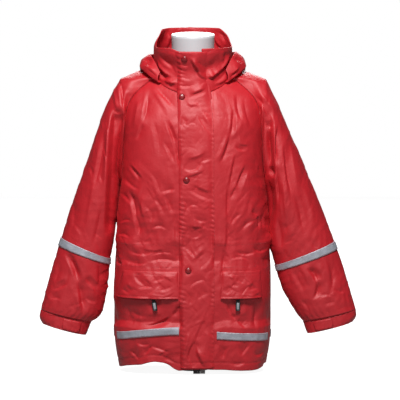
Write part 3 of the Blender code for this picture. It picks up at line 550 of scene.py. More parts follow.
def creased(x, z, from_x, from_z, to_x, to_z, bow, width, depth):
    """One crease: a sharp line with a short steep side, a long flat side and soft ends."""
    length = math.hypot(to_x - from_x, to_z - from_z)
    t = ((x - from_x) * (to_x - from_x) + (z - from_z) * (to_z - from_z)) / length**2
    off = ((x - from_x) * (to_z - from_z) - (z - from_z) * (to_x - from_x)) / length
    off = off - bow * 4 * t * (1 - t)
    ends = ease(t / 0.4) * ease((1 - t) / 0.4)
    away = np.where(off < 0, -off / (2.0 * width), off / (0.5 * width))
    return depth * ends * (np.exp(-away) - 0.15 * np.exp(-((away - 2.6) ** 2)))


def creases(rows, x, z):
    """The height of soft creases at x and z, from their table."""
    height = np.zeros_like(x)
    for row in rows:
        height += creased(x, z, *(np.array(row) / 1000))
    return height


def small_creases(x, z, area, count, seed, lean=(-0.9, 0.9), depth=1.0):
    """Many short creases, thrown over an area with a fixed seed."""
    left, right, foot, top = area
    chance = np.random.RandomState(seed)
    height = np.zeros_like(x)
    for _ in range(count):
        middle_x, middle_z = chance.uniform(left, right), chance.uniform(foot, top)
        turn = chance.uniform(*lean)
        length = chance.uniform(0.018, 0.056)
        reach_x, reach_z = length / 2 * math.sin(turn), length / 2 * math.cos(turn)
        deep = depth * chance.uniform(0.0005, 0.0015) * chance.choice((-1, 1, -1))
        line = (middle_x - reach_x, middle_z - reach_z, middle_x + reach_x, middle_z + reach_z)
        bow, width = chance.uniform(-0.003, 0.003), chance.uniform(0.0016, 0.0032)
        height += creased(x, z, *line, bow, width, deep)
    return height


def inside(value, low, high, soft):
    """1 between two limits and 0 outside them, softly."""
    return ease((value - low) / soft) * ease((high - value) / soft)


def waist_tunnel(points, top, foot):
    """The drawstring tunnel: cloth that blouses over its upper seam and puckers at both."""
    x, z = points[..., 0], points[..., 2]
    along = np.stack([x, np.zeros_like(x), np.zeros_like(x)], -1)
    ripple = wander(along, (0.006, 1, 1), 3.3)
    slack = between(0.25, 1.1, ease(0.5 + 1.4 * wander(along, (0.04, 1, 1), 7.1)))
    top = top + 0.009 * wander(along, (0.045, 1, 1), 2.1)
    above = np.clip(z - top, 0, 1)
    down = np.clip((top - z) / (top - foot), 0, 1)
    under = np.interp(down, (0, 0.10, 0.80, 1), (0.0050, 0.0044, -0.0062, -0.0030))
    blouse = 0.0050 * np.exp(-above / 0.016)
    height = slack * np.where(z > top, blouse, under)
    seams = np.exp(-(((z - top) / 0.003) ** 2)) + np.exp(-(((z - foot) / 0.004) ** 2))
    return height + seams * (0.0012 * ripple - 0.0006)


def front_relief(points):
    """How far the front's cloth stands out from its plain surface."""
    x, z = points[..., 0], points[..., 2]
    waist = np.exp(-(((z - 0.30) / 0.085) ** 2))
    low = ease((0.16 - z) / 0.1)
    height = crumple(points, (0.036, 0.090), 3.0) * (0.75 + 0.7 * waist + 0.25 * low)
    height += small_creases(x, z, (-0.17, 0.17, 0.24, 0.42), 60, 5)
    height += small_creases(x, z, (-0.17, 0.17, 0.02, 0.16), 34, 6, depth=0.8)
    height += small_creases(x, z, (-0.17, 0.17, 0.42, 0.60), 22, 7, lean=(-0.5, 0.5), depth=0.4)
    lie = np.stack([x, np.zeros_like(x), np.zeros_like(x)], -1)
    shifted = z + 0.010 * wander(lie, (0.05, 1, 1), 4.4)
    height += np.interp(shifted, SKIRT_Z, SKIRT_OUT) * between(1.0, 0.55, ease(x / 0.04))
    height += SIDE_SWELL * ease((np.abs(x) - 0.10) / 0.03) * inside(
        z, np.where(x < 0, 0.320, 0.240), 0.43, 0.02
    )
    height += waist_tunnel(points, 0.297 - 0.02 * np.abs(x), 0.240) * between(0.6, 1, waist)
    height += creases(FRONT_CREASES, x, z)
    height += 0.0028 * np.sin(x * 60 + 1.0) * ease((0.06 - z) / 0.05)
    height += 0.0020 * np.exp(-(((x - 0.050) / 0.020) ** 2))
    calm = inside(x, *FLAP_CALM, 0.007)
    for limits in POCKET_CALM:
        calm = np.maximum(calm, inside(x, *limits, 0.007) * inside(z, *POCKET_CALM_Z, 0.007))
    for middle in PULL_CALM:
        near = inside(x, middle - 0.018, middle + 0.018, 0.010) * inside(z, 0.128, 0.19, 0.010)
        calm = np.maximum(calm, near)
    return height * (1 - 0.92 * calm) - 0.0006 * calm


def back_relief(points):
    """How far the back's cloth stands out from its plain surface."""
    x, z = points[..., 0], points[..., 2]
    waist = np.exp(-(((z - 0.30) / 0.085) ** 2))
    height = crumple(points, (0.038, 0.090), 8.0) * (0.85 + 0.6 * waist)
    height += small_creases(x, z, (-0.17, 0.17, 0.22, 0.44), 60, 15)
    height += small_creases(x, z, (-0.17, 0.17, 0.02, 0.22), 36, 16, depth=0.8)
    height += small_creases(x, z, (-0.17, 0.17, 0.44, 0.64), 24, 17, lean=(-0.5, 0.5), depth=0.8)
    height += waist_tunnel(points, 0.289, 0.238)
    height += creases(BACK_CREASES, x, z)
    height += 0.0030 * np.sin(x * 48) * ease((0.06 - z) / 0.05)
    return height * (1 - 0.7 * ease((z - 0.56) / 0.04) * ease((0.09 - np.abs(x)) / 0.02))


def trunk_cloth(facing, s, v, distance):
    """A point of the front's or the back's cloth, lifted off it by a distance."""

    def surface(a, b):
        return trunk(facing, -facing * a, np.clip(b, 0, 1))

    points = trunk(facing, s, v)
    relief = front_relief(points) if facing < 0 else back_relief(points)
    to_side = (1 - np.abs(s)) * 0.2
    sewn = ease(to_side / 0.016) * ease((1 - v) / 0.02)
    above = ease((v - UNDERARM_SHARE + 0.03) / 0.03)
    relief = relief * sewn * (1 - above * (1 - ease(to_side / 0.012)))
    hem_line = np.exp(-(((v * NECK_FRONT_Z - HEM_STITCH) / 0.0022) ** 2))
    relief = relief - 0.0008 * hem_line
    step = 1e-4
    across = surface(-facing * s + step, v) - surface(-facing * s - step, v)
    up = surface(-facing * s, v + step) - surface(-facing * s, v - step)
    normal = np.cross(across, up)
    normal /= np.linalg.norm(normal, axis=-1, keepdims=True)
    return points + normal * (relief + distance)[..., None]


def linked_noise(tree, vector, scale, detail, roughness=0.5, distortion=0.0):
    """A noise texture node that reads a vector socket."""
    node = tree.nodes.new("ShaderNodeTexNoise")
    node.inputs["Scale"].default_value = scale
    node.inputs["Detail"].default_value = detail
    node.inputs["Roughness"].default_value = roughness
    node.inputs["Distortion"].default_value = distortion
    tree.links.new(vector, node.inputs["Vector"])
    return node.outputs["Fac"]


def linked_math(tree, operation, first, second=None):
    """A math node; each input is a socket or a number."""
    node = tree.nodes.new("ShaderNodeMath")
    node.operation = operation
    for index, value in enumerate((first, second)):
        if value is None:
            continue
        if isinstance(value, (int, float)):
            node.inputs[index].default_value = value
        else:
            tree.links.new(value, node.inputs[index])
    return node.outputs["Value"]


def film_group():
    """Fine crumple of a coated film: sharp little crests in two sizes, as a height."""
    group = bpy.data.node_groups.new("crumpled_film", "ShaderNodeTree")
    group.interface.new_socket("Place", in_out="INPUT", socket_type="NodeSocketVector")
    group.interface.new_socket("Scale", in_out="INPUT", socket_type="NodeSocketFloat")
    group.interface.new_socket("Height", in_out="OUTPUT", socket_type="NodeSocketFloat")
    start = group.nodes.new("NodeGroupInput")
    end = group.nodes.new("NodeGroupOutput")
    crests = []
    for share, detail in ((1.0, 2.0), (2.7, 1.0)):
        texture = group.nodes.new("ShaderNodeTexNoise")
        texture.inputs["Detail"].default_value = detail
        texture.inputs["Distortion"].default_value = 0.6
        scale = linked_math(group, "MULTIPLY", start.outputs["Scale"], share)
        group.links.new(start.outputs["Place"], texture.inputs["Vector"])
        group.links.new(scale, texture.inputs["Scale"])
        middle = linked_math(group, "SUBTRACT", texture.outputs["Fac"], 0.5)
        crest = linked_math(group, "ABSOLUTE", middle)
        crests.append(linked_math(group, "MULTIPLY", crest, 2.0 / share))
    both = linked_math(group, "ADD", *crests)
    height = linked_math(group, "SUBTRACT", 1.0, both)
    group.links.new(height, end.inputs["Height"])
    return group


def weave_group():
    """Plain weave of fine yarns, crossing over and under, as a height."""
    group = bpy.data.node_groups.new("plain_weave", "ShaderNodeTree")
    group.interface.new_socket("Cut", in_out="INPUT", socket_type="NodeSocketVector")
    group.interface.new_socket("Yarns", in_out="INPUT", socket_type="NodeSocketFloat")
    group.interface.new_socket("Height", in_out="OUTPUT", socket_type="NodeSocketFloat")
    start = group.nodes.new("NodeGroupInput")
    end = group.nodes.new("NodeGroupOutput")
    split = group.nodes.new("ShaderNodeSeparateXYZ")
    group.links.new(start.outputs["Cut"], split.inputs["Vector"])
    waves = []
    for axis in ("X", "Y"):
        turn = linked_math(group, "MULTIPLY", split.outputs[axis], start.outputs["Yarns"])
        waves.append(linked_math(group, "SINE", turn))
    height = linked_math(group, "MULTIPLY", *waves)
    group.links.new(height, end.inputs["Height"])
    return group


FILM = film_group()
WEAVE = weave_group()


def nylon(name, film_scale, film_depth, worn=0.5):
    """Coated red nylon: tinted unevenly, with a soft gloss, fine crumple and weave."""
    material, tree, shader = new_material(name, 0.4)
    shader.inputs["IOR"].default_value = 1.5
    shader.inputs["Specular IOR Level"].default_value = 0.7
    shader.inputs["Sheen Weight"].default_value = 0.02
    shader.inputs["Sheen Roughness"].default_value = 0.4
    shader.inputs["Sheen Tint"].default_value = (1.0, 0.35, 0.35, 1)
    place = tree.nodes.new("ShaderNodeTexCoord")
    cloud = linked_noise(tree, place.outputs["Object"], 9, 5, 0.6)
    tint = tree.nodes.new("ShaderNodeValToRGB")
    tint.color_ramp.elements[0].position = 0.3
    tint.color_ramp.elements[0].color = (0.50, 0.0060, 0.0140, 1)
    tint.color_ramp.elements[1].position = 0.72
    tint.color_ramp.elements[1].color = (0.58, 0.0080, 0.0172, 1)
    tree.links.new(cloud, tint.inputs["Fac"])
    tree.links.new(tint.outputs["Color"], shader.inputs["Base Color"])
    film = tree.nodes.new("ShaderNodeGroup")
    film.node_tree = FILM
    film.inputs["Scale"].default_value = film_scale
    tree.links.new(place.outputs["Object"], film.inputs["Place"])
    weave = tree.nodes.new("ShaderNodeGroup")
    weave.node_tree = WEAVE
    weave.inputs["Yarns"].default_value = 9000
    tree.links.new(place.outputs["UV"], weave.inputs["Cut"])
    gloss = tree.nodes.new("ShaderNodeMapRange")
    gloss.inputs["To Min"].default_value = 0.52
    gloss.inputs["To Max"].default_value = 0.52 + 0.2 * worn
    patches = linked_noise(tree, place.outputs["Object"], 55, 4, 0.6)
    tree.links.new(patches, gloss.inputs["Value"])
    tree.links.new(gloss.outputs["Result"], shader.inputs["Roughness"])
    threads = tree.nodes.new("ShaderNodeBump")
    threads.inputs["Strength"].default_value = 0.25
    threads.inputs["Distance"].default_value = 0.00004
    tree.links.new(weave.outputs["Height"], threads.inputs["Height"])
    folds = tree.nodes.new("ShaderNodeBump")
    folds.inputs["Strength"].default_value = 1.0
    folds.inputs["Distance"].default_value = film_depth
    tree.links.new(film.outputs["Height"], folds.inputs["Height"])
    tree.links.new(threads.outputs["Normal"], folds.inputs["Normal"])
    tree.links.new(folds.outputs["Normal"], shader.inputs["Normal"])
    return material


RED_NYLON = nylon("red_coated_nylon", 120, 0.0004)


def cloth(name, node, place, columns, rows, size, held, rests_on, area=None, **form):
    """One sewn piece of nylon: a grid laid on its surface, with a wall."""
    wall = form.get("wall", CLOTH_WALL)
    tube = form.get("tube", False)
    bm = laid_grid(place, columns, rows, *size, tube=tube)
    piece = shown(name, bm, form.get("material", RED_NYLON))
    solidify = piece.modifiers.new("wall", "SOLIDIFY")
    solidify.thickness = wall
    solidify.offset = form.get("grow", -1)
    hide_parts(node)
    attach(piece, "jacket")
    return piece


def front_half(side):
    def place(across, up):
        v = between(0, 1 - SEAM_GAP / NECK_BACK_Z, up)
        middle = share_at(-1, ZIP_X + side * SEAM_GAP, v)
        edge = side * (1 - SEAM_GAP / 0.2)
        if side < 0:
            s = between(edge, middle, across)
        else:
            s = between(middle, edge, across)
        return trunk_cloth(-1, s, v, np.zeros_like(s))

    return place


def back_place(across, up):
    v = between(0, 1 - SEAM_GAP / NECK_BACK_Z, up)
    edge = 1 - SEAM_GAP / 0.2
    s = between(edge, -edge, across)
    return trunk_cloth(1, s, v, np.zeros_like(s))


cloth("front_left_cloth", "front_left", front_half(-1), 108, 296, (0.25, 0.66), "hung", ["form_body"], 0.13)
cloth("front_right_cloth", "front_right", front_half(1), 96, 296, (0.22, 0.66), "hung", ["form_body"], 0.11)
cloth("back_cloth", "back", back_place, 128, 216, (0.44, 0.68), "hung", ["form_body"], 0.24)


# --- Raglan sleeves ---------------------------------------------------------------------
# Each sleeve is one piece of the same nylon, sewn to both fronts and the back up to the
# neck. It hangs in long folds beside the body and is gathered a little into its cuff.


SLEEVE_LEFT = table(
    "ring top_x top_z under_x under_z half_depth middle_y",
    (2, 0.1600, 0.6420, 0.1600, 0.398, 0.060, 0.000),
    (3, 0.1910, 0.5850, 0.1630, 0.383, 0.063, -0.001),
    (4, 0.2100, 0.5310, 0.1655, 0.358, 0.062, -0.002),
    (5, 0.2395, 0.4440, 0.1695, 0.318, 0.059, -0.003),
    (6, 0.2660, 0.3680, 0.1745, 0.278, 0.054, -0.004),
    (7, 0.2910, 0.2890, 0.1810, 0.2440, 0.049, -0.006),
    (8, 0.3100, 0.2250, 0.1875, 0.1850, 0.045, -0.008),
    (9, 0.3260, 0.1640, 0.2010, 0.1280, 0.042, -0.010),
    (10, 0.3345, 0.1340, 0.2230, 0.1080, 0.038, -0.010),
)
SLEEVE_RIGHT = table(
    "ring top_x top_z under_x under_z half_depth middle_y",
    (2, 0.1600, 0.6410, 0.1600, 0.398, 0.060, 0.000),
    (3, 0.1890, 0.5800, 0.1630, 0.380, 0.063, -0.001),
    (4, 0.2115, 0.5270, 0.1655, 0.352, 0.062, -0.002),
    (5, 0.2480, 0.4440, 0.1690, 0.312, 0.059, -0.003),
    (6, 0.2800, 0.3640, 0.1725, 0.268, 0.054, -0.004),
    (7, 0.3100, 0.2850, 0.1810, 0.2330, 0.048, -0.006),
    (8, 0.3320, 0.2250, 0.1965, 0.1800, 0.044, -0.008),
    (9, 0.3500, 0.1640, 0.2230, 0.1320, 0.042, -0.010),
    (10, 0.3585, 0.1340, 0.2420, 0.1090, 0.038, -0.010),
)
SLEEVES = {-1: SLEEVE_LEFT, 1: SLEEVE_RIGHT}
SIDE_NAME = {-1: "left", 1: "right"}
SLEEVE_TURN = table(
    "share turn",
    (0.0, 0.0),
    (0.0833, 0.062),
    (0.1875, 0.120),
    (0.2917, 0.195),
    (0.3958, 0.320),
    (0.5, 0.5),
)
NECK_PART = 1 / 12
TURN_EVENS_OUT = (2.0, 6.0)
SHOULDER_RING = 2.0
SHOULDER_RUN_ON = 2.3
SHOULDER_CREST = 0.011
SHOULDER_FLAT = 0.85
# Rings along the sleeve's length, with the share of that length that each is at
SLEEVE_RINGS = ((0.016, 0.0), (1.0, 0.07), (2.0, 0.14), (9.0, 0.95), (9.985, 1.0))
INNER_SWELL = 0.0035
# The deep fold beside the trunk: how far out it starts, and how far back it drops
ARMHOLE_START = table("height left right", (0.30, 0.196, 0.185), (0.45, 0.190, 0.182), (0.58, 0.182, 0.178))
ARMHOLE_DROP = {-1: 0.017, 1: 0.011}
SLEEVE_CREASES = {
    -1: (
        (-163, 646, -151, 577, -1, 4.5, -6.8),
        (-176, 637, -165, 575, 1, 5, 3),
        (-178, 579, -152, 577, 6, 3, -4.5),
        (-160, 372, -156, 580, -0, 3.5, -10),
        (-183, 575, -196, 380, 1, 6, 4.5),
        (-194, 531, -218, 402, -1, 4.5, -5.4),
        (-202, 557, -224, 451, -0, 6, 2.7),
        (-198, 380, -222, 270, -2, 6, -3.6),
        (-213, 433, -238, 301, 1, 6, 2.4),
        (-271, 389, -271, 301, -9, 6, -2.7),
        (-282, 265, -251, 195, -4, 5, -10),
        (-253, 208, -240, 128, -1, 5, -10),
        (-271, 270, -238, 195, -4, 6, 3.3),
        (-262, 181, -251, 133, -2, 5, 2.7),
        (-310, 179, -273, 199, 2, 3.5, -4.2),
        (-306, 192, -275, 210, -0, 4, 2.4),
        (-238, 212, -211, 177, 0, 3.5, -4.2),
        (-231, 221, -205, 190, -0, 4, 2.2),
        (-235, 168, -209, 153, 5, 3.5, -3.3),
        (-315, 159, -288, 159, -4, 3, -3),
        (-293, 243, -306, 186, -2, 6, -2.7),
        (-209, 243, -211, 181, -5, 5, -3),
        (-244, 557, -216, 509, -6, 5, -2.7),
    ),
    1: (
        (143, 617, 183, 564, -2, 5, 4.8),
        (136, 608, 169, 559, -2, 4, -4.8),
        (152, 544, 180, 548, 6, 3, -5.1),
        (156, 555, 178, 559, 4, 3, 3.3),
        (166, 545, 166, 440, 2, 6, -13),
        (161, 451, 180, 431, 0, 4, -11),
        (166, 435, 171, 320, -0, 6, -12),
        (187, 548, 183, 447, 2, 3.8, -7.5),
        (183, 460, 187, 367, 1, 4, -6.8),
        (176, 535, 175, 458, 2, 4, 3.6),
        (198, 513, 216, 376, 1, 4.5, -6.3),
        (209, 522, 231, 389, 1, 6, 3.6),
        (194, 433, 205, 323, -1, 5, 3),
        (220, 402, 244, 292, -4, 6, -3.9),
        (235, 425, 268, 310, -2, 7, 2.7),
        (183, 349, 194, 265, -1, 5, -5.4),
        (249, 230, 273, 195, -5, 5, -9),
        (273, 206, 264, 159, -4, 4.5, -9),
        (260, 237, 288, 190, -9, 6, 3.3),
        (218, 230, 244, 177, 2, 5, -3.9),
        (231, 239, 255, 190, -2, 5, 2.7),
        (293, 252, 308, 181, -4, 5, -3.3),
        (275, 164, 310, 164, -7, 3.5, -3.3),
        (310, 186, 341, 179, 6, 3.5, -3),
        (235, 159, 257, 131, -2, 3.5, -3),
        (284, 146, 319, 151, -4, 3, -2.4),
        (185, 632, 213, 575, 2, 5, -2.7),
        (205, 562, 229, 526, 3, 5, -2.7),
    ),
}
SLEEVE_BACK_CREASES = {
    -1: (
        (-317, 152, -323, 97, 3, 5, -5.4),
        (-248, 216, -282, 130, -1, 6, 3),
        (-229, 423, -244, 328, 4, 5, -6.8),
        (-229, 294, -245, 252, -4, 4, 3.3),
        (-143, 555, -169, 489, 1, 4, -3.9),
        (-229, 262, -249, 154, -3, 5, 3),
        (-193, 432, -208, 375, -3, 5, -6.8),
        (-324, 142, -333, 106, 5, 6, -5.4),
        (-312, 167, -335, 71, -0, 6, -3.9),
        (-231, 431, -239, 379, 4, 5, 3.3),
        (-259, 144, -269, 47, 1, 5, 3.3),
        (-223, 491, -260, 393, 2, 5, -3.9),
        (-218, 458, -228, 389, -1, 5, -4.5),
        (-256, 156, -270, 80, 5, 5, -5.4),
        (-251, 410, -267, 347, 0, 5, -5.4),
        (-268, 348, -275, 293, -1, 4, 3.3),
        (-191, 551, -206, 498, 0, 5, 3),
        (-261, 185, -289, 105, 2, 6, -5.4),
        (-200, 441, -217, 395, 2, 6, 3),
        (-257, 266, -293, 162, 1, 4, 3),
        (-217, 315, -245, 228, -3, 4, -6.8),
        (-200, 504, -216, 461, 1, 4, 3),
        (-288, 219, -253, 213, -2, 3.5, -3.3),
        (-278, 254, -243, 260, 0, 3.5, 2.4),
        (-305, 162, -270, 163, 2, 3.5, -3.3),
        (-299, 183, -264, 173, -2, 3.5, 2.4),
        (-279, 248, -244, 242, 1, 3.5, -3.3),
    ),
    1: (
        (225, 353, 248, 282, 3, 5, -6.8),
        (234, 308, 261, 224, 1, 5, -6.8),
        (231, 357, 245, 249, -3, 6, -4.5),
        (244, 262, 268, 192, 5, 5, -4.5),
        (320, 149, 329, 113, 3, 6, -4.5),
        (249, 398, 262, 293, -4, 5, -4.5),
        (212, 504, 240, 431, 2, 5, 3.3),
        (280, 183, 284, 146, -0, 6, 3.3),
        (186, 433, 198, 372, 3, 4, -4.5),
        (287, 245, 304, 201, 2, 5, -4.5),
        (212, 404, 243, 294, -1, 6, -4.5),
        (261, 201, 273, 162, 1, 5, -5.4),
        (285, 152, 306, 93, 3, 6, -6.8),
        (280, 219, 321, 115, 0, 4, -6.8),
        (279, 168, 291, 87, 4, 6, -6.8),
        (286, 177, 297, 129, -2, 5, 3),
        (273, 250, 284, 184, -0, 6, -6.8),
        (172, 490, 191, 439, -0, 5, 3.3),
        (316, 179, 326, 111, -3, 4, -5.4),
        (188, 416, 197, 363, 1, 4, 3),
        (270, 194, 285, 103, -2, 4, 3.3),
        (240, 443, 251, 399, 1, 5, -6.8),
        (258, 185, 293, 179, -1, 3.5, -3.3),
        (252, 206, 287, 202, 3, 3.5, -3.9),
        (264, 167, 299, 165, 2, 3.5, -3.3),
        (231, 276, 266, 276, -3, 3.5, 2.4),
        (236, 261, 271, 273, -2, 3.5, -3.9),
    ),
}


def ring_zero(side, u):
    """A sleeve's first ring: the neck seam over the shoulder and both raglan seams."""
    shoulder = (RAGLAN_FRONT_ANGLE + RAGLAN_BACK_ANGLE) / 2
    turn = np.minimum(u, 1 - u)
    end_angle = np.where(u < 0.5, RAGLAN_FRONT_ANGLE, RAGLAN_BACK_ANGLE)
    over_neck = neck(side * between(shoulder, end_angle, np.clip(turn / NECK_PART, 0, 1)))
    v = between(1, UNDERARM_SHARE, np.clip((turn - NECK_PART) / (0.5 - NECK_PART), 0, 1))
    ends = np.full_like(u, side)
    down = np.where(u[..., None] < 0.5, trunk(-1, ends, v), trunk(1, ends, v))
    return np.where(turn[..., None] < NECK_PART, over_neck, down)


def ring_turn(u, ring):
    """The turn round a ring: skewed near the raglan seams and even further down."""
    share = np.minimum(u, 1 - u)
    start, end = TURN_EVENS_OUT
    skew = (read(SLEEVE_TURN, "turn", share) - share) * (1 - ease((ring - start) / (end - start)))
    return 2 * math.pi * (u + np.where(u < 0.5, skew, -skew))


def ellipse(side, source, ring, turn, half_depth, middle_y):
    """A ring between its outermost and innermost points; turn starts forwards at the top."""
    zero = np.zeros_like(turn)
    top = np.stack([side * read(source, "top_x", ring), zero, read(source, "top_z", ring)], -1)
    under = np.stack(
        [side * read(source, "under_x", ring), zero, read(source, "under_z", ring)], -1
    )
    forward = np.stack([zero, middle_y - half_depth * np.sin(turn), zero], -1)
    return (top + under) / 2 + (top - under) / 2 * np.cos(turn)[..., None] + forward


def sleeve_ring(side, ring, u):
    """A ring of the sleeve beyond the shoulder."""
    source = SLEEVES[side]
    depth = read(source, "half_depth", ring)
    middle_y = read(source, "middle_y", ring)
    return ellipse(side, source, ring, ring_turn(u, ring), depth, middle_y)


def sleeve(side, u, ring):
    """A raglan sleeve: u runs round it from the top over the front, ring down its length."""
    u = u % 1.0
    start = ring_zero(side, u)
    corner = sleeve_ring(side, np.full_like(u, SHOULDER_RING), u)
    after = sleeve_ring(side, np.full_like(u, SHOULDER_RUN_ON), u)
    chord = corner - start
    crest = (np.clip(np.cos(ring_turn(u, SHOULDER_RING)), 0, 1) ** 3)[..., None]
    leave = chord + np.array([0, 0, SHOULDER_CREST]) * crest
    run_on = (after - corner) / (SHOULDER_RUN_ON - SHOULDER_RING) * SHOULDER_RING
    arrive = run_on + (chord - run_on) * SHOULDER_FLAT * crest
    t = np.clip(ring / SHOULDER_RING, 0, 1)[..., None]
    shoulder = (
        start * (1 + 2 * t) * (1 - t) ** 2
        + corner * t**2 * (3 - 2 * t)
        + leave * t * (1 - t) ** 2
        - arrive * t**2 * (1 - t)
    )
    beyond = sleeve_ring(side, np.maximum(ring, SHOULDER_RING), u)
    return np.where(ring[..., None] < SHOULDER_RING, shoulder, beyond)


def sleeve_relief(side, points, u, ring):
    """How far a sleeve's cloth stands out from its plain surface."""
    x, z = points[..., 0], points[..., 2]
    middle_y = read(SLEEVES[side], "middle_y", np.maximum(ring, 2))
    front = ease(0.5 - (points[..., 1] - middle_y) / 0.03)
    height = crumple(points, (0.034, 0.110), 12.0 + side, -0.42 * side)
    seen_x = side * x
    height += small_creases(seen_x, z, (0.16, 0.33, 0.13, 0.33), 46, 25 + side, lean=(-1.2, 1.2))
    height += small_creases(seen_x, z, (0.15, 0.27, 0.33, 0.60), 30, 28 + side, lean=(-0.2, 0.6))
    inner = ease((0.16 - np.abs(u - 0.5)) / 0.08)
    height += INNER_SWELL * inner * inside(z, 0.288 - 0.033 * side, 0.44, 0.02)
    height += front * creases(SLEEVE_CREASES[side], x, z)
    height += (1 - front) * creases(SLEEVE_BACK_CREASES[side], x, z)
    gather = np.exp(-(10 - ring) / 0.55) * np.sin(u * 2 * math.pi * 24 + 2.2 * np.sin(u * 21))
    height += 0.0013 * gather
    ends = ease(ring / 0.28) * between(0.15, 1, ease((10 - ring) / 0.5))
    return height * ends


def sleeve_cloth(side, a, ring, distance):
    """A point of a sleeve's cloth, lifted off it; a runs round so that it faces out."""

    def surface(p, q):
        return sleeve(side, p if side > 0 else 1 - p, q)

    u = (a if side > 0 else 1 - a) % 1.0
    plain = sleeve(side, u, ring)
    relief = sleeve_relief(side, plain, u, ring)
    points = lifted(surface, a, ring, relief + distance)
    z = plain[..., 2]
    start = read(ARMHOLE_START, SIDE_NAME[side], z)
    front = ease(0.5 - (plain[..., 1] + 0.005) / 0.02)
    back = ease((start - np.abs(plain[..., 0])) / 0.013) * inside(z, 0.30, 0.585, 0.035)
    points[..., 1] += ARMHOLE_DROP[side] * back * front * ease((ring - 1.0) / 0.8)
    return points


def sleeve_place(side):
    rings, shares = np.array(SLEEVE_RINGS).T

    def place(across, up):
        ring = np.interp(up, shares, rings)
        return sleeve_cloth(side, across, ring, np.zeros_like(up))

    return place


for side in (-1, 1):
    name = SIDE_NAME[side]
    cloth(
        f"sleeve_{name}_cloth", f"sleeve_{name}", sleeve_place(side), 144, 196, (0.42, 0.62),
        "hung", ["form_body"], 0.21, tube=True,
    )


# --- Cuffs and their tabs ---------------------------------------------------------------
# A turned band of nylon is sewn to each sleeve end, and a short adjusting tab lies on its
# front. The band is double, so it is thicker and crumples less than the sleeve.


CUFF_LEFT = table(
    "ring top_x top_z under_x under_z",
    (0, 0.3345, 0.1340, 0.2230, 0.1080),
    (1, 0.3375, 0.1180, 0.2290, 0.0920),
    (2, 0.3315, 0.1040, 0.2352, 0.0780),
)
CUFF_RIGHT = table(
    "ring top_x top_z under_x under_z",
    (0, 0.3585, 0.1340, 0.2420, 0.1090),
    (1, 0.3600, 0.1200, 0.2470, 0.0950),
    (2, 0.3535, 0.1080, 0.2520, 0.0820),
)
CUFFS = {-1: CUFF_LEFT, 1: CUFF_RIGHT}
CUFF_SEAM_RING = 10.0
CUFF_HALF_DEPTH = 0.036
CUFF_WALL = 0.0020
CUFF_TAB_TURN = {-1: (0.64, 0.76), 1: (0.24, 0.36)}


def cuff_surface(side, u, ring):
    """A cuff: u runs round it as on its sleeve, ring from the seam (0) to the mouth (2)."""
    middle_y = read(SLEEVES[side], "middle_y", CUFF_SEAM_RING)
    return ellipse(side, CUFFS[side], ring, 2 * math.pi * u, CUFF_HALF_DEPTH, middle_y)


def cuff_cloth(side, a, ring, distance):
    """A point of a cuff's cloth, lifted off it."""

    def surface(p, q):
        return cuff_surface(side, p if side > 0 else 1 - p, q)

    u = (a if side > 0 else 1 - a) % 1.0
    points = cuff_surface(side, u, ring)
    relief = 0.75 * crumple(points, (0.024, 0.026), 21.0 + side)
    pucker = 0.0006 * np.sin(u * 2 * math.pi * 34 + 2 * np.sin(u * 17))
    relief += pucker * (np.exp(-ring / 0.3) + np.exp(-((ring - 1.7) ** 2) / 0.03))
    relief -= 0.0007 * np.exp(-((ring - 1.72) ** 2) / 0.006)
    return lifted(surface, a, ring, relief * ease(ring / 0.15) + distance)


def cuff_place(side):
    def place(across, up):
        return cuff_cloth(side, across, between(0.012, 2.0, up), np.zeros_like(up))

    return place


def cuff_tab_place(side):
    def place(across, up):
        a = between(*CUFF_TAB_TURN[side], across)
        rounded = 1 - 0.55 * (np.abs(2 * up - 1) ** 6) * ease((across if side > 0 else 1 - across) * 6 - 5)
        ring = 1.025 + (between(0.25, 1.8, up) - 1.025) * rounded
        rim = np.minimum(np.minimum(across, 1 - across) / 0.08, np.minimum(up, 1 - up) / 0.1)
        return cuff_cloth(side, a, ring, LAY_GAP + 0.0006 * ease(rim))

    return place


for side in (-1, 1):
    name = SIDE_NAME[side]
    cloth(
        f"cuff_{name}_band", f"cuff_{name}", cuff_place(side), 132, 16, (0.27, 0.032),
        "gathered", [f"sleeve_{name}_cloth"], wall=CUFF_WALL, tube=True,
    )
    cloth(
        f"cuff_tab_{name}_strap", f"cuff_tab_{name}", cuff_tab_place(side), 20, 14,
        (0.032, 0.024), "laid", [f"cuff_{name}_band"], grow=1,
    )


# --- Stand collar -----------------------------------------------------------------------
# A high stand collar of doubled nylon, sewn round the neck and creased where the jacket
# has been worn and folded. Its two ends meet over the zip, the left one a little lower.


COLLAR_TOP_FRONT_Z = 0.7140
COLLAR_TOP_BACK_Z = 0.7505
COLLAR_RISE_FROM = math.radians(75)
COLLAR_RISE_TO = math.radians(130)
COLLAR_RISE_LAG = math.radians(14)
COLLAR_TOP_HALF_WIDTH = 0.0855
COLLAR_TOP_DEPTH = 0.0780
COLLAR_END_DROP = 0.0065
COLLAR_DROP_FROM = 0.88
COLLAR_DROP_TO = 0.92
COLLAR_LEAN = 0.0050
COLLAR_CREASES = (
    (-79, 690, -44, 650, 8, 4, 8.0),
    (-86, 675, -48, 639, 5, 4.5, -7.0),
    (-68, 646, -31, 639, 3, 3.5, 6.0),
    (-64, 633, -33, 628, 2, 3, -3.3),
    (-73, 701, -37, 670, 6, 5, -5.4),
    (-51, 683, -33, 657, 0, 3, 2.2),
    (52, 656, 80, 701, 3, 4, 9.0),
    (28, 651, 62, 670, 5, 4, 8.5),
    (33, 652, 47, 654, 1, 4, 5),
    (40, 639, 75, 666, 7, 4.5, -3.9),
    (64, 710, 62, 675, -5, 6, -3.9),
    (42, 626, 73, 644, 4, 3.5, -3),
    (46, 635, 77, 652, 4, 3.5, 2.7),
)
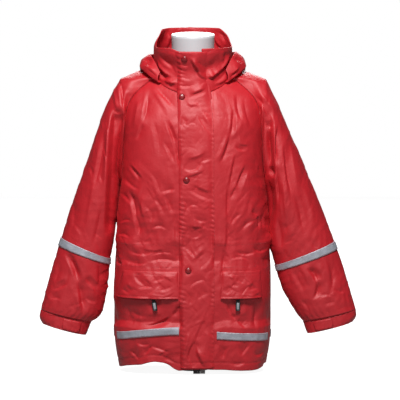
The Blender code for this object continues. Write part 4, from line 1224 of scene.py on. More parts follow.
COLLAR_BACK_CREASES = (
    (-62, 700, -54, 745, 2, 6, -6.0),
    (-60, 742, -34, 700, 3, 5, -3.9),
    (-40, 738, -18, 706, -3, 5, 3),
    (-8, 744, 6, 705, 3, 5, -3.6),
    (22, 742, 30, 704, -3, 4, -3.3),
    (44, 738, 70, 705, 3, 5, -3.9),
    (58, 742, 74, 716, -2, 4, 3),
)


def collar_surface(angle, h):
    """The stand collar, by the angle from the front and the share of its height."""
    base = neck(angle)
    turn = np.abs((angle + math.pi) % (2 * math.pi) - math.pi)
    start = COLLAR_RISE_FROM + COLLAR_RISE_LAG * np.sin(angle)
    rise = ease((turn - start) / (COLLAR_RISE_TO - COLLAR_RISE_FROM))
    x = COLLAR_TOP_HALF_WIDTH * np.sin(angle)
    y = -COLLAR_TOP_DEPTH * np.cos(angle)
    top = np.stack([x, y, between(COLLAR_TOP_FRONT_Z, COLLAR_TOP_BACK_Z, rise)], -1)
    return base + (top - base) * h[..., None]


def collar_relief(points, h):
    x, z = points[..., 0], points[..., 2]
    front = ease(0.5 - points[..., 1] / 0.02)
    height = crumple(points, (0.034, 0.034), 31.0) * 0.9
    height += front * creases(COLLAR_CREASES, x, z)
    height += (1 - front) * creases(COLLAR_BACK_CREASES, x, z)
    height += small_creases(x, z, (-0.085, 0.085, 0.62, 0.75), 26, 31, lean=(-1.4, 1.4), depth=0.8)
    calm = inside(x, -0.030, 0.032, 0.006) * front
    in_front = ease((-points[..., 1] - 0.015) / 0.05)
    bend = 1.8 * ease((h - 0.45) / 0.5) - np.exp(-(((h - 0.5) / 0.22) ** 2))
    lean = COLLAR_LEAN * in_front * bend
    rim = -0.0006 * np.exp(-(((1 - h) * 0.09 - 0.006) / 0.0014) ** 2)
    rounded = -0.014 * ease((-0.050 - x) / 0.035) * ease((z - 0.712) / 0.036)
    return (height * (1 - 0.92 * calm) + rim) * ease(h / 0.10) + lean + rounded


def collar_cloth(angle, h, distance):
    """A point of the collar's cloth, lifted off it."""
    relief = collar_relief(collar_surface(angle, h), h)
    return lifted(collar_surface, angle, h, relief + distance)


def collar_place(across, up):
    zip_angle = math.asin(ZIP_X / NECK_HALF_WIDTH)
    gap = SEAM_GAP / NECK_HALF_WIDTH
    angle = between(zip_angle + gap, zip_angle + 2 * math.pi - gap, across)
    drop = ease((across - COLLAR_DROP_FROM) / (COLLAR_DROP_TO - COLLAR_DROP_FROM))
    points = collar_cloth(angle, between(0.006, 1, up), np.zeros_like(up))
    points[..., 2] -= drop * up * COLLAR_END_DROP
    return points


cloth(
    "collar_stand", "collar", collar_place, 210, 38, (0.54, 0.095), "hung", ["form_body"],
    0.045, wall=0.0016,
)


# --- Hood -------------------------------------------------------------------------------
# The hood is sewn in at the neck seam and has dropped behind the collar. It lies on the
# shoulders with a soft lobe on each side, open at the top where its face edge runs.


HOOD = table(
    "angle sewn_z lie_out lie_z fold_out fold_z swell_out swell_z edge_out edge_z",
    (52, 0.6375, 0.0050, 0.6380, 0.0085, 0.6400, 0.0090, 0.6520, 0.0030, 0.6640),
    (66, 0.6475, 0.0090, 0.6490, 0.0170, 0.6530, 0.0160, 0.6680, 0.0035, 0.6850),
    (85, 0.6600, 0.0130, 0.6660, 0.0280, 0.6680, 0.0190, 0.6850, 0.0040, 0.6970),
    (105, 0.6700, 0.0150, 0.6740, 0.0300, 0.6660, 0.0290, 0.6840, 0.0110, 0.6990),
    (130, 0.6760, 0.0250, 0.6680, 0.0460, 0.6350, 0.0540, 0.6580, 0.0270, 0.6950),
    (155, 0.6775, 0.0290, 0.6350, 0.0520, 0.5700, 0.0720, 0.6150, 0.0400, 0.6960),
    (180, 0.6775, 0.0300, 0.6200, 0.0500, 0.5450, 0.0740, 0.6000, 0.0420, 0.6930),
)
HOOD_SEWN_OUT = 0.0010
HOOD_LEAN = 0.0035
HOOD_LEAN_FROM = 0.4
HOOD_CREASES = (
    (79, 655, 103, 673, 2, 4, 3.9),
    (78, 648, 100, 662, 2, 4, -3.9),
    (88, 690, 112, 676, -3, 5, -3.6),
    (96, 700, 116, 690, -3, 4, 2.7),
    (-74, 650, -100, 668, -2, 4, -3.9),
    (-80, 662, -112, 672, 3, 4, 3.6),
    (-88, 684, -112, 682, 3, 4, -3.3),
)
HOOD_BACK_CREASES = (
    (-70, 660, -30, 600, 6, 6, -5.1),
    (-44, 668, -8, 596, 6, 6, 3.9),
    (-24, 640, 10, 572, 5, 6, -4.8),
    (14, 664, 28, 590, -5, 6, 3.9),
    (40, 660, 20, 596, -6, 6, -4.8),
    (72, 664, 44, 606, -6, 6, -4.5),
    (-90, 668, -60, 640, 4, 5, 3.6),
    (-60, 624, -10, 600, 10, 5, -3.9),
    (64, 622, 14, 586, -10, 5, -3.9),
    (88, 672, 62, 646, -4, 5, 3.6),
)


def hood_surface(angle, t):
    """The dropped hood, by the angle from the front and the share of its profile."""
    degrees = np.degrees(np.where(angle > math.pi, 2 * math.pi - angle, angle))
    seam = neck(angle)
    lean = HOOD_LEAN * np.sin(angle)
    radius = np.linalg.norm(seam[..., :2], axis=-1)
    names = ["lie", "fold", "swell", "edge"]
    out = [np.full_like(degrees, HOOD_SEWN_OUT)]
    out += [read(HOOD, name + "_out", degrees) for name in names]
    height = [read(HOOD, name + "_z", degrees) for name in ["sewn"] + names]
    profile = np.stack([np.stack(out, -1), np.stack(height, -1)], -1)
    slopes = np.gradient(profile, axis=-2)
    place = np.clip(t, 0, 1) * len(names)
    low = np.clip(place.astype(int), 0, len(names) - 1)
    rows = np.arange(len(low))
    f = (place - low)[:, None]
    point = (
        profile[rows, low] * (1 + 2 * f) * (1 - f) ** 2
        + profile[rows, low + 1] * f**2 * (3 - 2 * f)
        + slopes[rows, low] * f * (1 - f) ** 2
        - slopes[rows, low + 1] * f**2 * (1 - f)
    )
    scale = 1 + point[:, 0] / radius
    high = point[:, 1] + lean * ease((t - HOOD_LEAN_FROM) / (1 - HOOD_LEAN_FROM))
    return np.stack([seam[:, 0] * scale, seam[:, 1] * scale, high], -1)


def hood_place(across, up):
    start = math.radians(HOOD["angle"][0])
    angle = between(start, 2 * math.pi - start, across)
    points = hood_surface(angle, up)
    x, z = points[..., 0], points[..., 2]
    outer = ease((up - 0.45) / 0.15)
    front = ease(0.5 - points[..., 1] / 0.03)
    relief = crumple(points, (0.036, 0.050), 41.0) * (0.25 + 0.9 * outer)
    relief += outer * front * creases(HOOD_CREASES, x, z)
    relief += outer * (1 - front) * creases(HOOD_BACK_CREASES, x, z)
    ends = ease(across / 0.05) * ease((1 - across) / 0.05)
    return lifted(hood_surface, angle, between(0.0, 1.0, up), relief * between(0.2, 1, ends))


cloth(
    "hood_drape", "hood", hood_place, 200, 60, (0.62, 0.21), "hung",
    ["collar_stand", "sleeve_left_cloth", "sleeve_right_cloth"], 0.085,
)


# --- Storm flap and its snaps -----------------------------------------------------------
# A doubled strip of nylon, sewn down on the right of the zip and closed over it with four
# capped press snaps. Its free edge is stitched and puckers all the way down.


FLAP_FOOT_Z = 0.0150
FLAP_TOP_Z = 0.7070
FLAP_WALL = 0.0014
SEWN_DOWN = -0.0020
FREE_DOWN = -0.0013
NECK_TURN_REACH = 0.018
STORM_FLAP = table(
    "height free_x sewn_x",
    (0.000, -0.0260, 0.0500),
    (0.120, -0.0286, 0.0506),
    (0.400, -0.0300, 0.0500),
    (0.580, -0.0330, 0.0460),
    (0.640, -0.0345, 0.0370),
    (0.714, -0.0352, 0.0350),
)
SNAP_REST = 0.0010
SNAPS = (
    (-0.0176, 0.6905),
    (-0.0235, 0.6085),
    (-0.0140, 0.4290),
    (-0.0100, 0.2305),
)
FLAP_CREASES = (
    (9, 573, 44, 522, 2, 3.2, -4.8),
    (18, 578, 51, 531, 1, 4, 2.7),
    (-26, 567, -7, 544, 4, 2.4, -3),
    (-33, 544, -7, 560, 1, 2.4, -2.7),
    (-22, 575, -22, 536, 2, 2.2, -2.4),
    (-15, 544, 11, 542, -10, 2.5, -1.4),
    (-7, 584, 15, 586, -6, 2.5, 2.1),
    (15, 589, 46, 589, 4, 2, -2.4),
    (18, 578, 44, 580, 6, 2, -2.2),
    (22, 567, 44, 569, 3, 2, -1.8),
    (-26, 457, 22, 469, 9, 6, -6),
    (15, 467, 44, 476, -2, 4.5, -4.5),
    (-15, 478, 29, 494, 5, 5, 3.3),
    (-22, 438, 29, 456, 4, 3.5, 3),
    (-9, 412, 46, 385, 3, 5.5, -6),
    (-2, 423, 48, 403, 3, 4.5, 3),
    (-26, 394, -20, 350, -8, 3, -2.7),
    (-15, 363, 15, 368, -9, 3, -2.7),
    (0, 350, 37, 343, 8, 3.2, -3),
    (-15, 310, 22, 315, 6, 5, -6),
    (-11, 332, 29, 330, 3, 4, 2.7),
    (15, 332, 46, 319, -0, 4, -4.5),
    (13, 231, 46, 270, -1, 6, -6.3),
    (-7, 248, 29, 281, -1, 6, 2.7),
    (-22, 284, 7, 255, -3, 4, -3),
    (-9, 193, 29, 211, -5, 4, -2.7),
    (7, 164, 42, 182, -5, 5, -2.4),
    (-20, 186, -11, 151, -10, 4, -2.4),
    (29, 124, 4, 74, 1, 5, -4.5),
    (7, 80, -11, 29, 3, 4.5, -7.5),
    (-9, 102, -20, 49, -1, 5, 3.3),
    (7, 67, 29, 16, 2, 4.5, 4.8),
    (-7, 49, 0, 14, -1, 5, -6),
    (24, 107, 51, 80, -5, 9, -4.5),
    (33, 65, 51, 27, 3, 4, -3),
    (-6, 701, 20, 656, 2, 4, 9.0),
    (9, 668, 33, 648, 4, 4, 7.5),
    (18, 654, 48, 654, 6, 4, 7.5),
    (4, 693, 40, 671, 6, 6, -3.9),
    (-29, 684, -4, 679, 5, 2.6, -1.6),
    (-33, 673, -7, 673, 4, 3, 1.6),
    (-31, 657, 2, 648, 5, 3, -1.6),
    (-33, 635, 7, 637, 5, 3, -2.2),
    (-9, 615, 31, 631, 1, 3.2, 4.8),
    (-13, 606, 35, 622, 2, 3.2, -3.9),
    (11, 631, 42, 640, -4, 3, -2.7),
    (-13, 702, -7, 675, -9, 3, -2.2),
    (-15, 598, 9, 595, 6, 3, 2.4),
)


def on_front(x, z, distance):
    """Points of the front's cloth at x and z, lifted off it."""
    s, v = front_at(x, z)
    return trunk_cloth(-1, s, np.clip(v, 2e-4, 1 - 2e-4), distance)


def on_collar(x, z, distance):
    """Points of the collar's cloth at x and z, lifted off it."""
    angle = np.arcsin(np.clip(x / NECK_HALF_WIDTH, -1, 1))
    base_z = neck(angle)[..., 2]
    return collar_cloth(angle, (z - base_z) / (COLLAR_TOP_FRONT_Z - base_z), distance)


def front_and_collar(x, z, distance):
    """Points above the front and the collar, with the turn at the neck seam eased."""
    seam_z = neck(np.arcsin(np.clip(x / NECK_HALF_WIDTH, -1, 1)))[..., 2]
    low_z = np.minimum(z, seam_z - NECK_TURN_REACH)
    high_z = np.maximum(z, seam_z + NECK_TURN_REACH)
    low = on_front(x, low_z, distance)
    high = on_collar(x, high_z, distance)
    share = np.clip((z - low_z) / np.maximum(high_z - low_z, 1e-9), 0, 1)[..., None]
    return low + (high - low) * share


# How far the flap's cloth stands off, its edge puckers' spacing and depths, and how far
# round a snap the cloth is pressed flat
FLAP_LIFT = 0.0022
PUCKER_PITCH = 0.0103
FREE_PUCKER = 0.0009
SEWN_PUCKER = 0.0008
SNAP_FLAT = 0.0095


def flap_relief(x, z):
    """How far the flap's own cloth stands out: its creases, crumple and edge puckers."""
    free = x - read(STORM_FLAP, "free_x", z)
    sewn = read(STORM_FLAP, "sewn_x", z) - x
    points = np.stack([x, np.full_like(x, -0.106), z], -1)
    waist = np.exp(-(((z - 0.30) / 0.09) ** 2))
    calm = 1 - 0.8 * ease((z - 0.60) / 0.04)
    height = crumple(points, (0.022, 0.040), 51.0) * (0.55 + 0.45 * waist) * calm
    height += small_creases(x, z, (-0.03, 0.05, 0.24, 0.46), 34, 51, lean=(-1.5, 1.5), depth=0.8)
    height += small_creases(x, z, (-0.03, 0.05, 0.46, 0.60), 16, 52, lean=(-1.5, 1.5), depth=0.8)
    height += small_creases(x, z, (-0.03, 0.05, 0.02, 0.24), 22, 53, lean=(-1.2, 1.2), depth=0.8)
    height += creases(FLAP_CREASES, x, z) + FLAP_LIFT
    drift = np.array([noise.noise((b * 24, 1.5, 0.2)) for b in z.reshape(-1)]).reshape(z.shape)
    scallop = np.sin(z * 2 * math.pi / PUCKER_PITCH + 5 * drift + 160 * x)
    uneven = np.clip(0.55 + 1.1 * drift, 0.1, 1.2)
    pucker = FREE_PUCKER * uneven * scallop * np.exp(-(((free - 0.005) / 0.009) ** 2))
    low = ease((0.56 - z) / 0.03)
    pucker += SEWN_PUCKER * uneven * scallop * low * np.exp(-(((sewn - 0.006) / 0.007) ** 2))
    stitched = np.exp(-((free - 0.0060) ** 2) / 0.0012**2)
    stitched += np.exp(-((sewn - 0.0060) ** 2) / 0.0012**2) * ease((z - 0.60) / 0.02)
    ends = ease(free / 0.008) * ease(sewn / 0.028)
    height = np.maximum(height, 0.0) * ends + pucker - 0.0005 * stitched
    for snap_x, snap_z in SNAPS:
        near = np.exp(-((np.hypot(x - snap_x, z - snap_z) / SNAP_FLAT) ** 4))
        height = height + near * (SNAP_REST - height)
    return height


def flap_place(across, up):
    z = between(FLAP_FOOT_Z, FLAP_TOP_Z, up)
    x = between(read(STORM_FLAP, "free_x", z), read(STORM_FLAP, "sewn_x", z), across)
    sewn = ease((read(STORM_FLAP, "sewn_x", z) - x) / 0.020)
    free = ease((x - read(STORM_FLAP, "free_x", z)) / 0.007)
    lie = between(SEWN_DOWN, LAY_GAP, sewn) + between(FREE_DOWN, 0, free)
    return front_and_collar(x, z, lie + np.maximum(flap_relief(x, z), -0.0009))


cloth(
    "storm_flap_strip", "storm_flap", flap_place, 46, 340, (0.086, 0.74), "hung",
    ["front_left_cloth", "front_right_cloth", "collar_stand"], wall=FLAP_WALL, grow=1,
)


def frame_at(place, x, z):
    """A matrix on a surface: X along it to the right, Y inwards and Z up along it."""
    step = 1e-3
    xs = np.array([x, x + step, x, x - step, x])
    zs = np.array([z, z, z + step, z, z - step])
    points = place(xs, zs)
    right = Vector(points[1] - points[3]).normalized()
    up = Vector(points[2] - points[4]).normalized()
    inward = up.cross(right).normalized()
    up = right.cross(inward).normalized()
    matrix = Matrix((right, inward, up)).transposed().to_4x4()
    matrix.translation = Vector(points[0])
    return matrix


def above_flap(a, b):
    return front_and_collar(a, b, np.full_like(a, LAY_GAP + FLAP_WALL + SNAP_REST + 0.0002))


snap_lacquer, tree, shader = new_material("snap_lacquer", 0.22)
shader.inputs["Coat Weight"].default_value = 0.3
shader.inputs["Coat Roughness"].default_value = 0.2
place = tree.nodes.new("ShaderNodeTexCoord")
rubbed = linked_noise(tree, place.outputs["Object"], 420, 5, 0.65)
tint = tree.nodes.new("ShaderNodeValToRGB")
tint.color_ramp.elements[0].position = 0.35
tint.color_ramp.elements[0].color = (0.22, 0.004, 0.007, 1)
tint.color_ramp.elements[1].position = 0.75
tint.color_ramp.elements[1].color = (0.30, 0.008, 0.012, 1)
tree.links.new(rubbed, tint.inputs["Fac"])
tree.links.new(tint.outputs["Color"], shader.inputs["Base Color"])
gloss = tree.nodes.new("ShaderNodeMapRange")
gloss.inputs["To Min"].default_value = 0.28
gloss.inputs["To Max"].default_value = 0.46
tree.links.new(rubbed, gloss.inputs["Value"])
tree.links.new(gloss.outputs["Result"], shader.inputs["Roughness"])

SNAP_PROFILE = (
    (0.0, 3.4), (1.8, 3.3), (3.6, 3.0), (5.1, 2.5), (6.2, 1.8), (6.9, 1.0), (7.2, 0.4),
    (7.1, 0.1), (6.8, 0.0), (0.0, 0.0),
)
for number, (x, z) in enumerate(SNAPS, 1):
    bm = bmesh.new()
    verts = [bm.verts.new((r / 1000, 0, h / 1000)) for r, h in SNAP_PROFILE]
    edges = [bm.edges.new(pair) for pair in zip(verts, verts[1:])]
    bmesh.ops.spin(
        bm, geom=verts + edges, cent=(0, 0, 0), axis=(0, 0, 1), angle=2 * math.pi, steps=48,
        use_merge=True,
    )
    bmesh.ops.remove_doubles(bm, verts=bm.verts, dist=1e-6)
    bmesh.ops.recalc_face_normals(bm, faces=bm.faces)
    turned = frame_at(above_flap, x, z) @ Matrix.Rotation(math.pi / 2, 4, "X")
    bmesh.ops.transform(bm, matrix=turned, verts=bm.verts)
    cap = shown(f"snap_cap_{number}", bm, snap_lacquer)
    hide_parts(f"snap_{number}")
    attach(cap, "jacket")


# --- Pocket flaps -----------------------------------------------------------------------
# A doubled flap hangs over each pocket mouth, sewn and topstitched along its upper edge.
# The lower edge stands off the front, so a dark gap and the zip's pull show under it.


POCKET_TOP_Z = 0.2285
POCKET_FOOT_Z = 0.1689
FLAP_STAND_OFF = 0.0062
FLAP_STAND_CURVE = 1.4
# Side, ends of the lower and upper edge, the slider's place and the tab's sideways lean
POCKETS = (
    (-1, (-0.1640, -0.1510), (-0.0316, -0.0337), -0.0850, -10.0),
    (1, (0.0600, 0.0650), (0.1475, 0.1465), 0.0975, 2.0),
)
POCKET_CREASES = (
    (-129, 223, -100, 196, 4, 3.5, -3.6),
    (-88, 208, -64, 216, 3, 3.5, -3),
    (-118, 190, -84, 194, -3, 3.5, -3.3),
    (-76, 187, -44, 198, 3, 4, -3.3),
    (-140, 205, -124, 186, 2, 4, 2.7),
    (-66, 220, -44, 205, -3, 3, 2.4),
    (-104, 214, -90, 200, -2, 3, 2.4),
    (-152, 190, -132, 178, 2, 3.5, -3),
    (70, 178, 84, 198, 3, 3.5, -3.9),
    (83, 198, 97, 194, -2, 3, -3),
    (92, 214, 112, 202, 2, 3.5, -3),
    (112, 196, 130, 208, 3, 4, 2.7),
    (120, 186, 140, 190, -2, 3.5, -3),
    (76, 218, 88, 210, -2, 3, 2.4),
)


def pocket_flap(left_ends, right_ends):
    def place(across, up):
        z = between(POCKET_FOOT_Z, POCKET_TOP_Z, up)
        left, right = between(*left_ends, up), between(*right_ends, up)
        x = between(left, right, across)
        points = np.stack([x, np.full_like(x, -0.1), z], -1)
        relief = crumple(points, (0.034, 0.024), 61.0) + creases(POCKET_CREASES, x, z)
        relief += small_creases(x, z, (left.min(), right.max(), 0.17, 0.225), 9, 61, (-1.5, 1.5))
        rim = np.minimum(np.minimum(x - left, right - x) / 0.006, (POCKET_TOP_Z - z) / 0.010)
        relief = np.maximum(relief + 0.0022, 0.0) * ease(rim)
        foot = z - POCKET_FOOT_Z
        relief += 0.0009 * np.sin(x * 210) * np.exp(-foot / 0.012) * ease(rim)
        relief -= 0.0004 * np.exp(-((foot - 0.005) ** 2) / 0.001**2)
        relief -= 0.0005 * np.exp(-((POCKET_TOP_Z - z - 0.007) ** 2) / 0.0012**2)
        open_part = between(0.25, 1, ease(4 * across * (1 - across)))
        stand_off = LAY_GAP + FLAP_STAND_OFF * open_part * (1 - up) ** FLAP_STAND_CURVE
        return on_front(x, z, stand_off + np.maximum(relief, -0.0004))

    return place


for side, left_ends, right_ends, slider_x, lean in POCKETS:
    name = SIDE_NAME[side]
    cloth(
        f"pocket_flap_{name}_cloth", f"pocket_flap_{name}", pocket_flap(left_ends, right_ends),
        64, 34, (right_ends[0] - left_ends[0] + 0.004, 0.063), "hung", [f"front_{name}_cloth"],
        wall=0.0014, grow=1,
    )


# --- Zips, sliders and pull tabs --------------------------------------------------------
# Black woven tapes with moulded teeth behind the front's edges and under both pocket flaps.
# Each pocket zip has a slider with a moulded tab that swings on it, with a bare grey inset.


def black_part(name, colour, roughness, grain):
    """Black or grey moulded plastic, faintly grained and dulled in patches."""
    material, tree, shader = new_material(name, roughness)
    place = tree.nodes.new("ShaderNodeTexCoord")
    worn = linked_noise(tree, place.outputs["Object"], 240, 5, 0.65)
    tint = tree.nodes.new("ShaderNodeValToRGB")
    tint.color_ramp.elements[0].position = 0.35
    tint.color_ramp.elements[0].color = (*colour, 1)
    tint.color_ramp.elements[1].position = 0.8
    tint.color_ramp.elements[1].color = (*(part * 1.35 + 0.004 for part in colour), 1)
    tree.links.new(worn, tint.inputs["Fac"])
    tree.links.new(tint.outputs["Color"], shader.inputs["Base Color"])
    gloss = tree.nodes.new("ShaderNodeMapRange")
    gloss.inputs["To Min"].default_value = roughness - 0.08
    gloss.inputs["To Max"].default_value = roughness + 0.12
    tree.links.new(worn, gloss.inputs["Value"])
    tree.links.new(gloss.outputs["Result"], shader.inputs["Roughness"])
    bump = tree.nodes.new("ShaderNodeBump")
    bump.inputs["Strength"].default_value = 0.3
    bump.inputs["Distance"].default_value = 0.00008
    fine = linked_noise(tree, place.outputs["Object"], grain, 3)
    tree.links.new(fine, bump.inputs["Height"])
    tree.links.new(bump.outputs["Normal"], shader.inputs["Normal"])
    return material


def woven_tape(name, colour):
    """Zip tape: close twill ribs over a matt weave, on the tape's own place."""
    material, tree, shader = new_material(name, 0.8)
    place = tree.nodes.new("ShaderNodeTexCoord")
    split = tree.nodes.new("ShaderNodeSeparateXYZ")
    tree.links.new(place.outputs["Object"], split.inputs["Vector"])
    slant = linked_math(tree, "ADD", split.outputs["X"], split.outputs["Z"])
    twill = linked_math(tree, "SINE", linked_math(tree, "MULTIPLY", slant, 9000))
    soil = linked_noise(tree, place.outputs["Object"], 130, 5, 0.6)
    tint = tree.nodes.new("ShaderNodeValToRGB")
    tint.color_ramp.elements[0].position = 0.3
    tint.color_ramp.elements[0].color = (*colour, 1)
    tint.color_ramp.elements[1].position = 0.75
    tint.color_ramp.elements[1].color = (*(part * 1.5 + 0.004 for part in colour), 1)
    tree.links.new(soil, tint.inputs["Fac"])
    tree.links.new(tint.outputs["Color"], shader.inputs["Base Color"])
    bump = tree.nodes.new("ShaderNodeBump")
    bump.inputs["Strength"].default_value = 0.5
    bump.inputs["Distance"].default_value = 0.0001
    tree.links.new(twill, bump.inputs["Height"])
    tree.links.new(bump.outputs["Normal"], shader.inputs["Normal"])
    return material


def along_path(path, pitch):
    """Places at an even pitch on a line of points, each with the line's direction."""
    steps = np.linalg.norm(np.diff(path, axis=0), axis=1)
    run = np.concatenate([[0], np.cumsum(steps)])
    places = np.arange(pitch / 2, run[-1], pitch)
    points = np.stack([np.interp(places, run, path[:, k]) for k in range(3)], -1)
    ahead = np.stack([np.interp(places + pitch / 4, run, path[:, k]) for k in range(3)], -1)
    behind = np.stack([np.interp(places - pitch / 4, run, path[:, k]) for k in range(3)], -1)
    return points, ahead - behind


def repeated(name, unit, paths, pitch, out, material, shift=0.0):
    """One mesh of small units set along lines: X along the line and Z out of the cloth."""
    small = bpy.data.meshes.new(name + "_unit")
    unit.to_mesh(small)
    unit.free()
    bm = bmesh.new()
    for path in paths:
        points, directions = along_path(path, pitch)
        for number, (point, direction) in enumerate(zip(points, directions)):
            along = Vector(direction).normalized()
            beside = Vector(out(point)).cross(along).normalized()
            above = along.cross(beside)
            matrix = Matrix((along, beside, above)).transposed().to_4x4()
            matrix.translation = Vector(point) + beside * shift * (1 if number % 2 else -1)
            copy = small.copy()
            copy.transform(matrix)
            bm.from_mesh(copy)
            bpy.data.meshes.remove(copy)
    bpy.data.meshes.remove(small)
    piece = shown(name, bm, material)
    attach(piece, "jacket")
    return piece


def forwards(point):
    return (point[0] * 0.4, -1, 0)


def zip_tooth(length, width, height):
    """One moulded tooth with rounded edges."""
    bm = bmesh.new()
    bmesh.ops.create_cube(bm, size=1)
    bmesh.ops.scale(bm, verts=bm.verts, vec=(length, width, height))
    bmesh.ops.bevel(
        bm, geom=bm.edges, offset=0.0002, segments=1, profile=0.5, affect="EDGES", material=-1
    )
    return bm


def behind_front(x, z, distance):
    """Points on or behind the front's plain surface, where its cloth has no folds."""
    s, v = front_at(x, z)

    def surface(a, b):
        return trunk(-1, a, b)

    return lifted(surface, s, v, distance)


ZIP_BACK = 0.0020
HINGE_Z = 0.1655
HINGE_STAND_OFF = 0.0046
TAB_SIZE = (0.0100, 0.0024, 0.0215)
TAB_DROP = 0.0018
BARREL = (0.0012, 0.0046)
black_plastic = black_part("black_plastic", (0.012, 0.012, 0.013), 0.42, 2600)
grey_plastic = black_part("grey_tab_inset", (0.30, 0.31, 0.33), 0.45, 2600)
black_tape = woven_tape("black_zip_tape", (0.014, 0.014, 0.016))
grey_tape = woven_tape("grey_tape_end", (0.20, 0.19, 0.19))
for node, material in (
    ("front_zip", black_tape), ("pocket_zip_left", black_tape), ("pocket_zip_right", black_tape),
    ("slider_left", black_plastic), ("slider_right", black_plastic),
    ("zip_box", black_plastic), ("zip_tape_end", grey_tape),
):
    bpy.data.objects[node].material_slots[0].material = material

z = np.linspace(0.032, 0.592, 300)
front_teeth = behind_front(np.full_like(z, ZIP_X), z, np.full_like(z, -ZIP_BACK))
repeated(
    "front_zip_teeth", zip_tooth(0.0016, 0.0036, 0.0012), [front_teeth], 0.0013, forwards,
    black_plastic, shift=0.0013,
)
for side, left_ends, right_ends, slider_x, lean in POCKETS:
    name = SIDE_NAME[side]
    x = np.linspace(left_ends[0] + 0.014, right_ends[0] - 0.012, 120)
    line = behind_front(x, np.full_like(x, 0.176), np.full_like(x, 0.0019))
    repeated(
        f"pocket_zip_{name}_teeth", zip_tooth(0.0010, 0.0026, 0.0007), [line], 0.0009, forwards,
        black_plastic, shift=0.0009,
    )

    def above_panel(a, b):
        return behind_front(a, b, np.full_like(a, HINGE_STAND_OFF))

    hinge = frame_at(above_panel, slider_x, HINGE_Z) @ Matrix.Rotation(math.radians(lean), 4, "Y")
    width, thick, length = TAB_SIZE
    bm = bmesh.new()
    bmesh.ops.create_cube(bm, size=1)
    bmesh.ops.scale(bm, verts=bm.verts, vec=TAB_SIZE)
    corners = [e for e in bm.edges if abs(e.verts[0].co.y - e.verts[1].co.y) > thick / 2]
    bmesh.ops.bevel(
        bm, geom=corners, offset=0.0026, segments=4, profile=0.5, affect="EDGES", material=-1
    )
    faces = [f for f in bm.faces if abs(f.normal.y) > 0.9]
    rim = list({e for f in faces for e in f.edges})
    bmesh.ops.bevel(
        bm, geom=rim, offset=0.0005, segments=2, profile=0.5, affect="EDGES", material=-1
    )
    face = [min(bm.faces, key=lambda f: f.calc_center_median().y)]
    bmesh.ops.inset_region(bm, faces=face, thickness=0.0011, depth=0)
    bmesh.ops.inset_region(bm, faces=face, thickness=0.0003, depth=-0.0005)
    bmesh.ops.translate(bm, verts=bm.verts, vec=(0, 0, -TAB_DROP - length / 2))
    throat = bmesh.ops.create_cube(bm, size=1)["verts"]
    bmesh.ops.scale(bm, verts=throat, vec=(0.0038, 0.0016, 0.0042))
    bmesh.ops.translate(bm, verts=throat, vec=(0, 0, -TAB_DROP))
    eye = bmesh.ops.create_cone(
        bm, cap_ends=True, segments=20, radius1=BARREL[0], radius2=BARREL[0], depth=BARREL[1]
    )["verts"]
    bmesh.ops.rotate(bm, verts=eye, matrix=Matrix.Rotation(math.pi / 2, 3, "Y"))
    bmesh.ops.recalc_face_normals(bm, faces=bm.faces)
    bmesh.ops.transform(bm, matrix=hinge, verts=bm.verts)
    tab = shown(f"pull_tab_{name}_moulded", bm, black_plastic)
    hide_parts(f"pull_{name}")
    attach(tab, f"pull_tab_{name}")
    bm = bmesh.new()
    bmesh.ops.create_cube(bm, size=1)
    bmesh.ops.scale(bm, verts=bm.verts, vec=(width - 0.0046, 0.0006, length - 0.0072))
    bmesh.ops.bevel(
        bm, geom=bm.edges, offset=0.00025, segments=2, profile=0.5, affect="EDGES", material=-1
    )
    bmesh.ops.translate(bm, verts=bm.verts, vec=(0, -thick / 2 + 0.0002, -TAB_DROP - length / 2))
    bmesh.ops.transform(bm, matrix=hinge, verts=bm.verts)
    inset = shown(f"pull_tab_{name}_inset", bm, grey_plastic)
    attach(inset, f"pull_tab_{name}")

low, high = (Vector(corner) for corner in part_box("zip_box"))
bm = bmesh.new()
bmesh.ops.create_uvsphere(bm, u_segments=14, v_segments=8, radius=0.0011)
bmesh.ops.translate(
    bm, verts=bm.verts, vec=((low.x + high.x) / 2 + 0.002, low.y + 0.0002, (low.z + high.z) / 2 - 0.002)
)
stud = shown("zip_box_stud", bm, grey_plastic)
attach(stud, "jacket")


# --- Reflective bands -------------------------------------------------------------------
# Grey reflective tape with fine ribs, stitched along both edges: one ring on each sleeve
# and a line round the body that stops short of the storm flap on both sides.


BAND_HEIGHT = 0.0165
FRONT_BAND_LEFT = (-0.166, -0.0305)
FRONT_BAND_RIGHT = (0.0520, 0.164)
BACK_BAND_END = 0.995
SLEEVE_BAND = {-1: (6.93, 7.19), 1: (7.0, 7.27)}
TAPE_WALL = 0.0010
BODY_BAND = table(
    "across height",
    (-0.170, 0.0825),
    (-0.105, 0.0925),
    (-0.030, 0.0975),
    (0.050, 0.0885),
    (0.170, 0.0800),
)

reflective, tree, shader = new_material("reflective_tape", 0.5, 0.2)
shader.inputs["Specular IOR Level"].default_value = 0.6
place = tree.nodes.new("ShaderNodeTexCoord")
split = tree.nodes.new("ShaderNodeSeparateXYZ")
tree.links.new(place.outputs["UV"], split.inputs["Vector"])
ribs = linked_math(tree, "SINE", linked_math(tree, "MULTIPLY", split.outputs["X"], 5200))
soil = linked_noise(tree, place.outputs["Object"], 60, 6, 0.65)
tint = tree.nodes.new("ShaderNodeValToRGB")
tint.color_ramp.elements[0].position = 0.3
tint.color_ramp.elements[0].color = (0.37, 0.385, 0.435, 1)
tint.color_ramp.elements[1].position = 0.7
tint.color_ramp.elements[1].color = (0.49, 0.51, 0.575, 1)
tree.links.new(soil, tint.inputs["Fac"])
tree.links.new(tint.outputs["Color"], shader.inputs["Base Color"])
bump = tree.nodes.new("ShaderNodeBump")
bump.inputs["Strength"].default_value = 0.4
bump.inputs["Distance"].default_value = 0.00012
tree.links.new(ribs, bump.inputs["Height"])
film = tree.nodes.new("ShaderNodeGroup")
film.node_tree = FILM
film.inputs["Scale"].default_value = 110
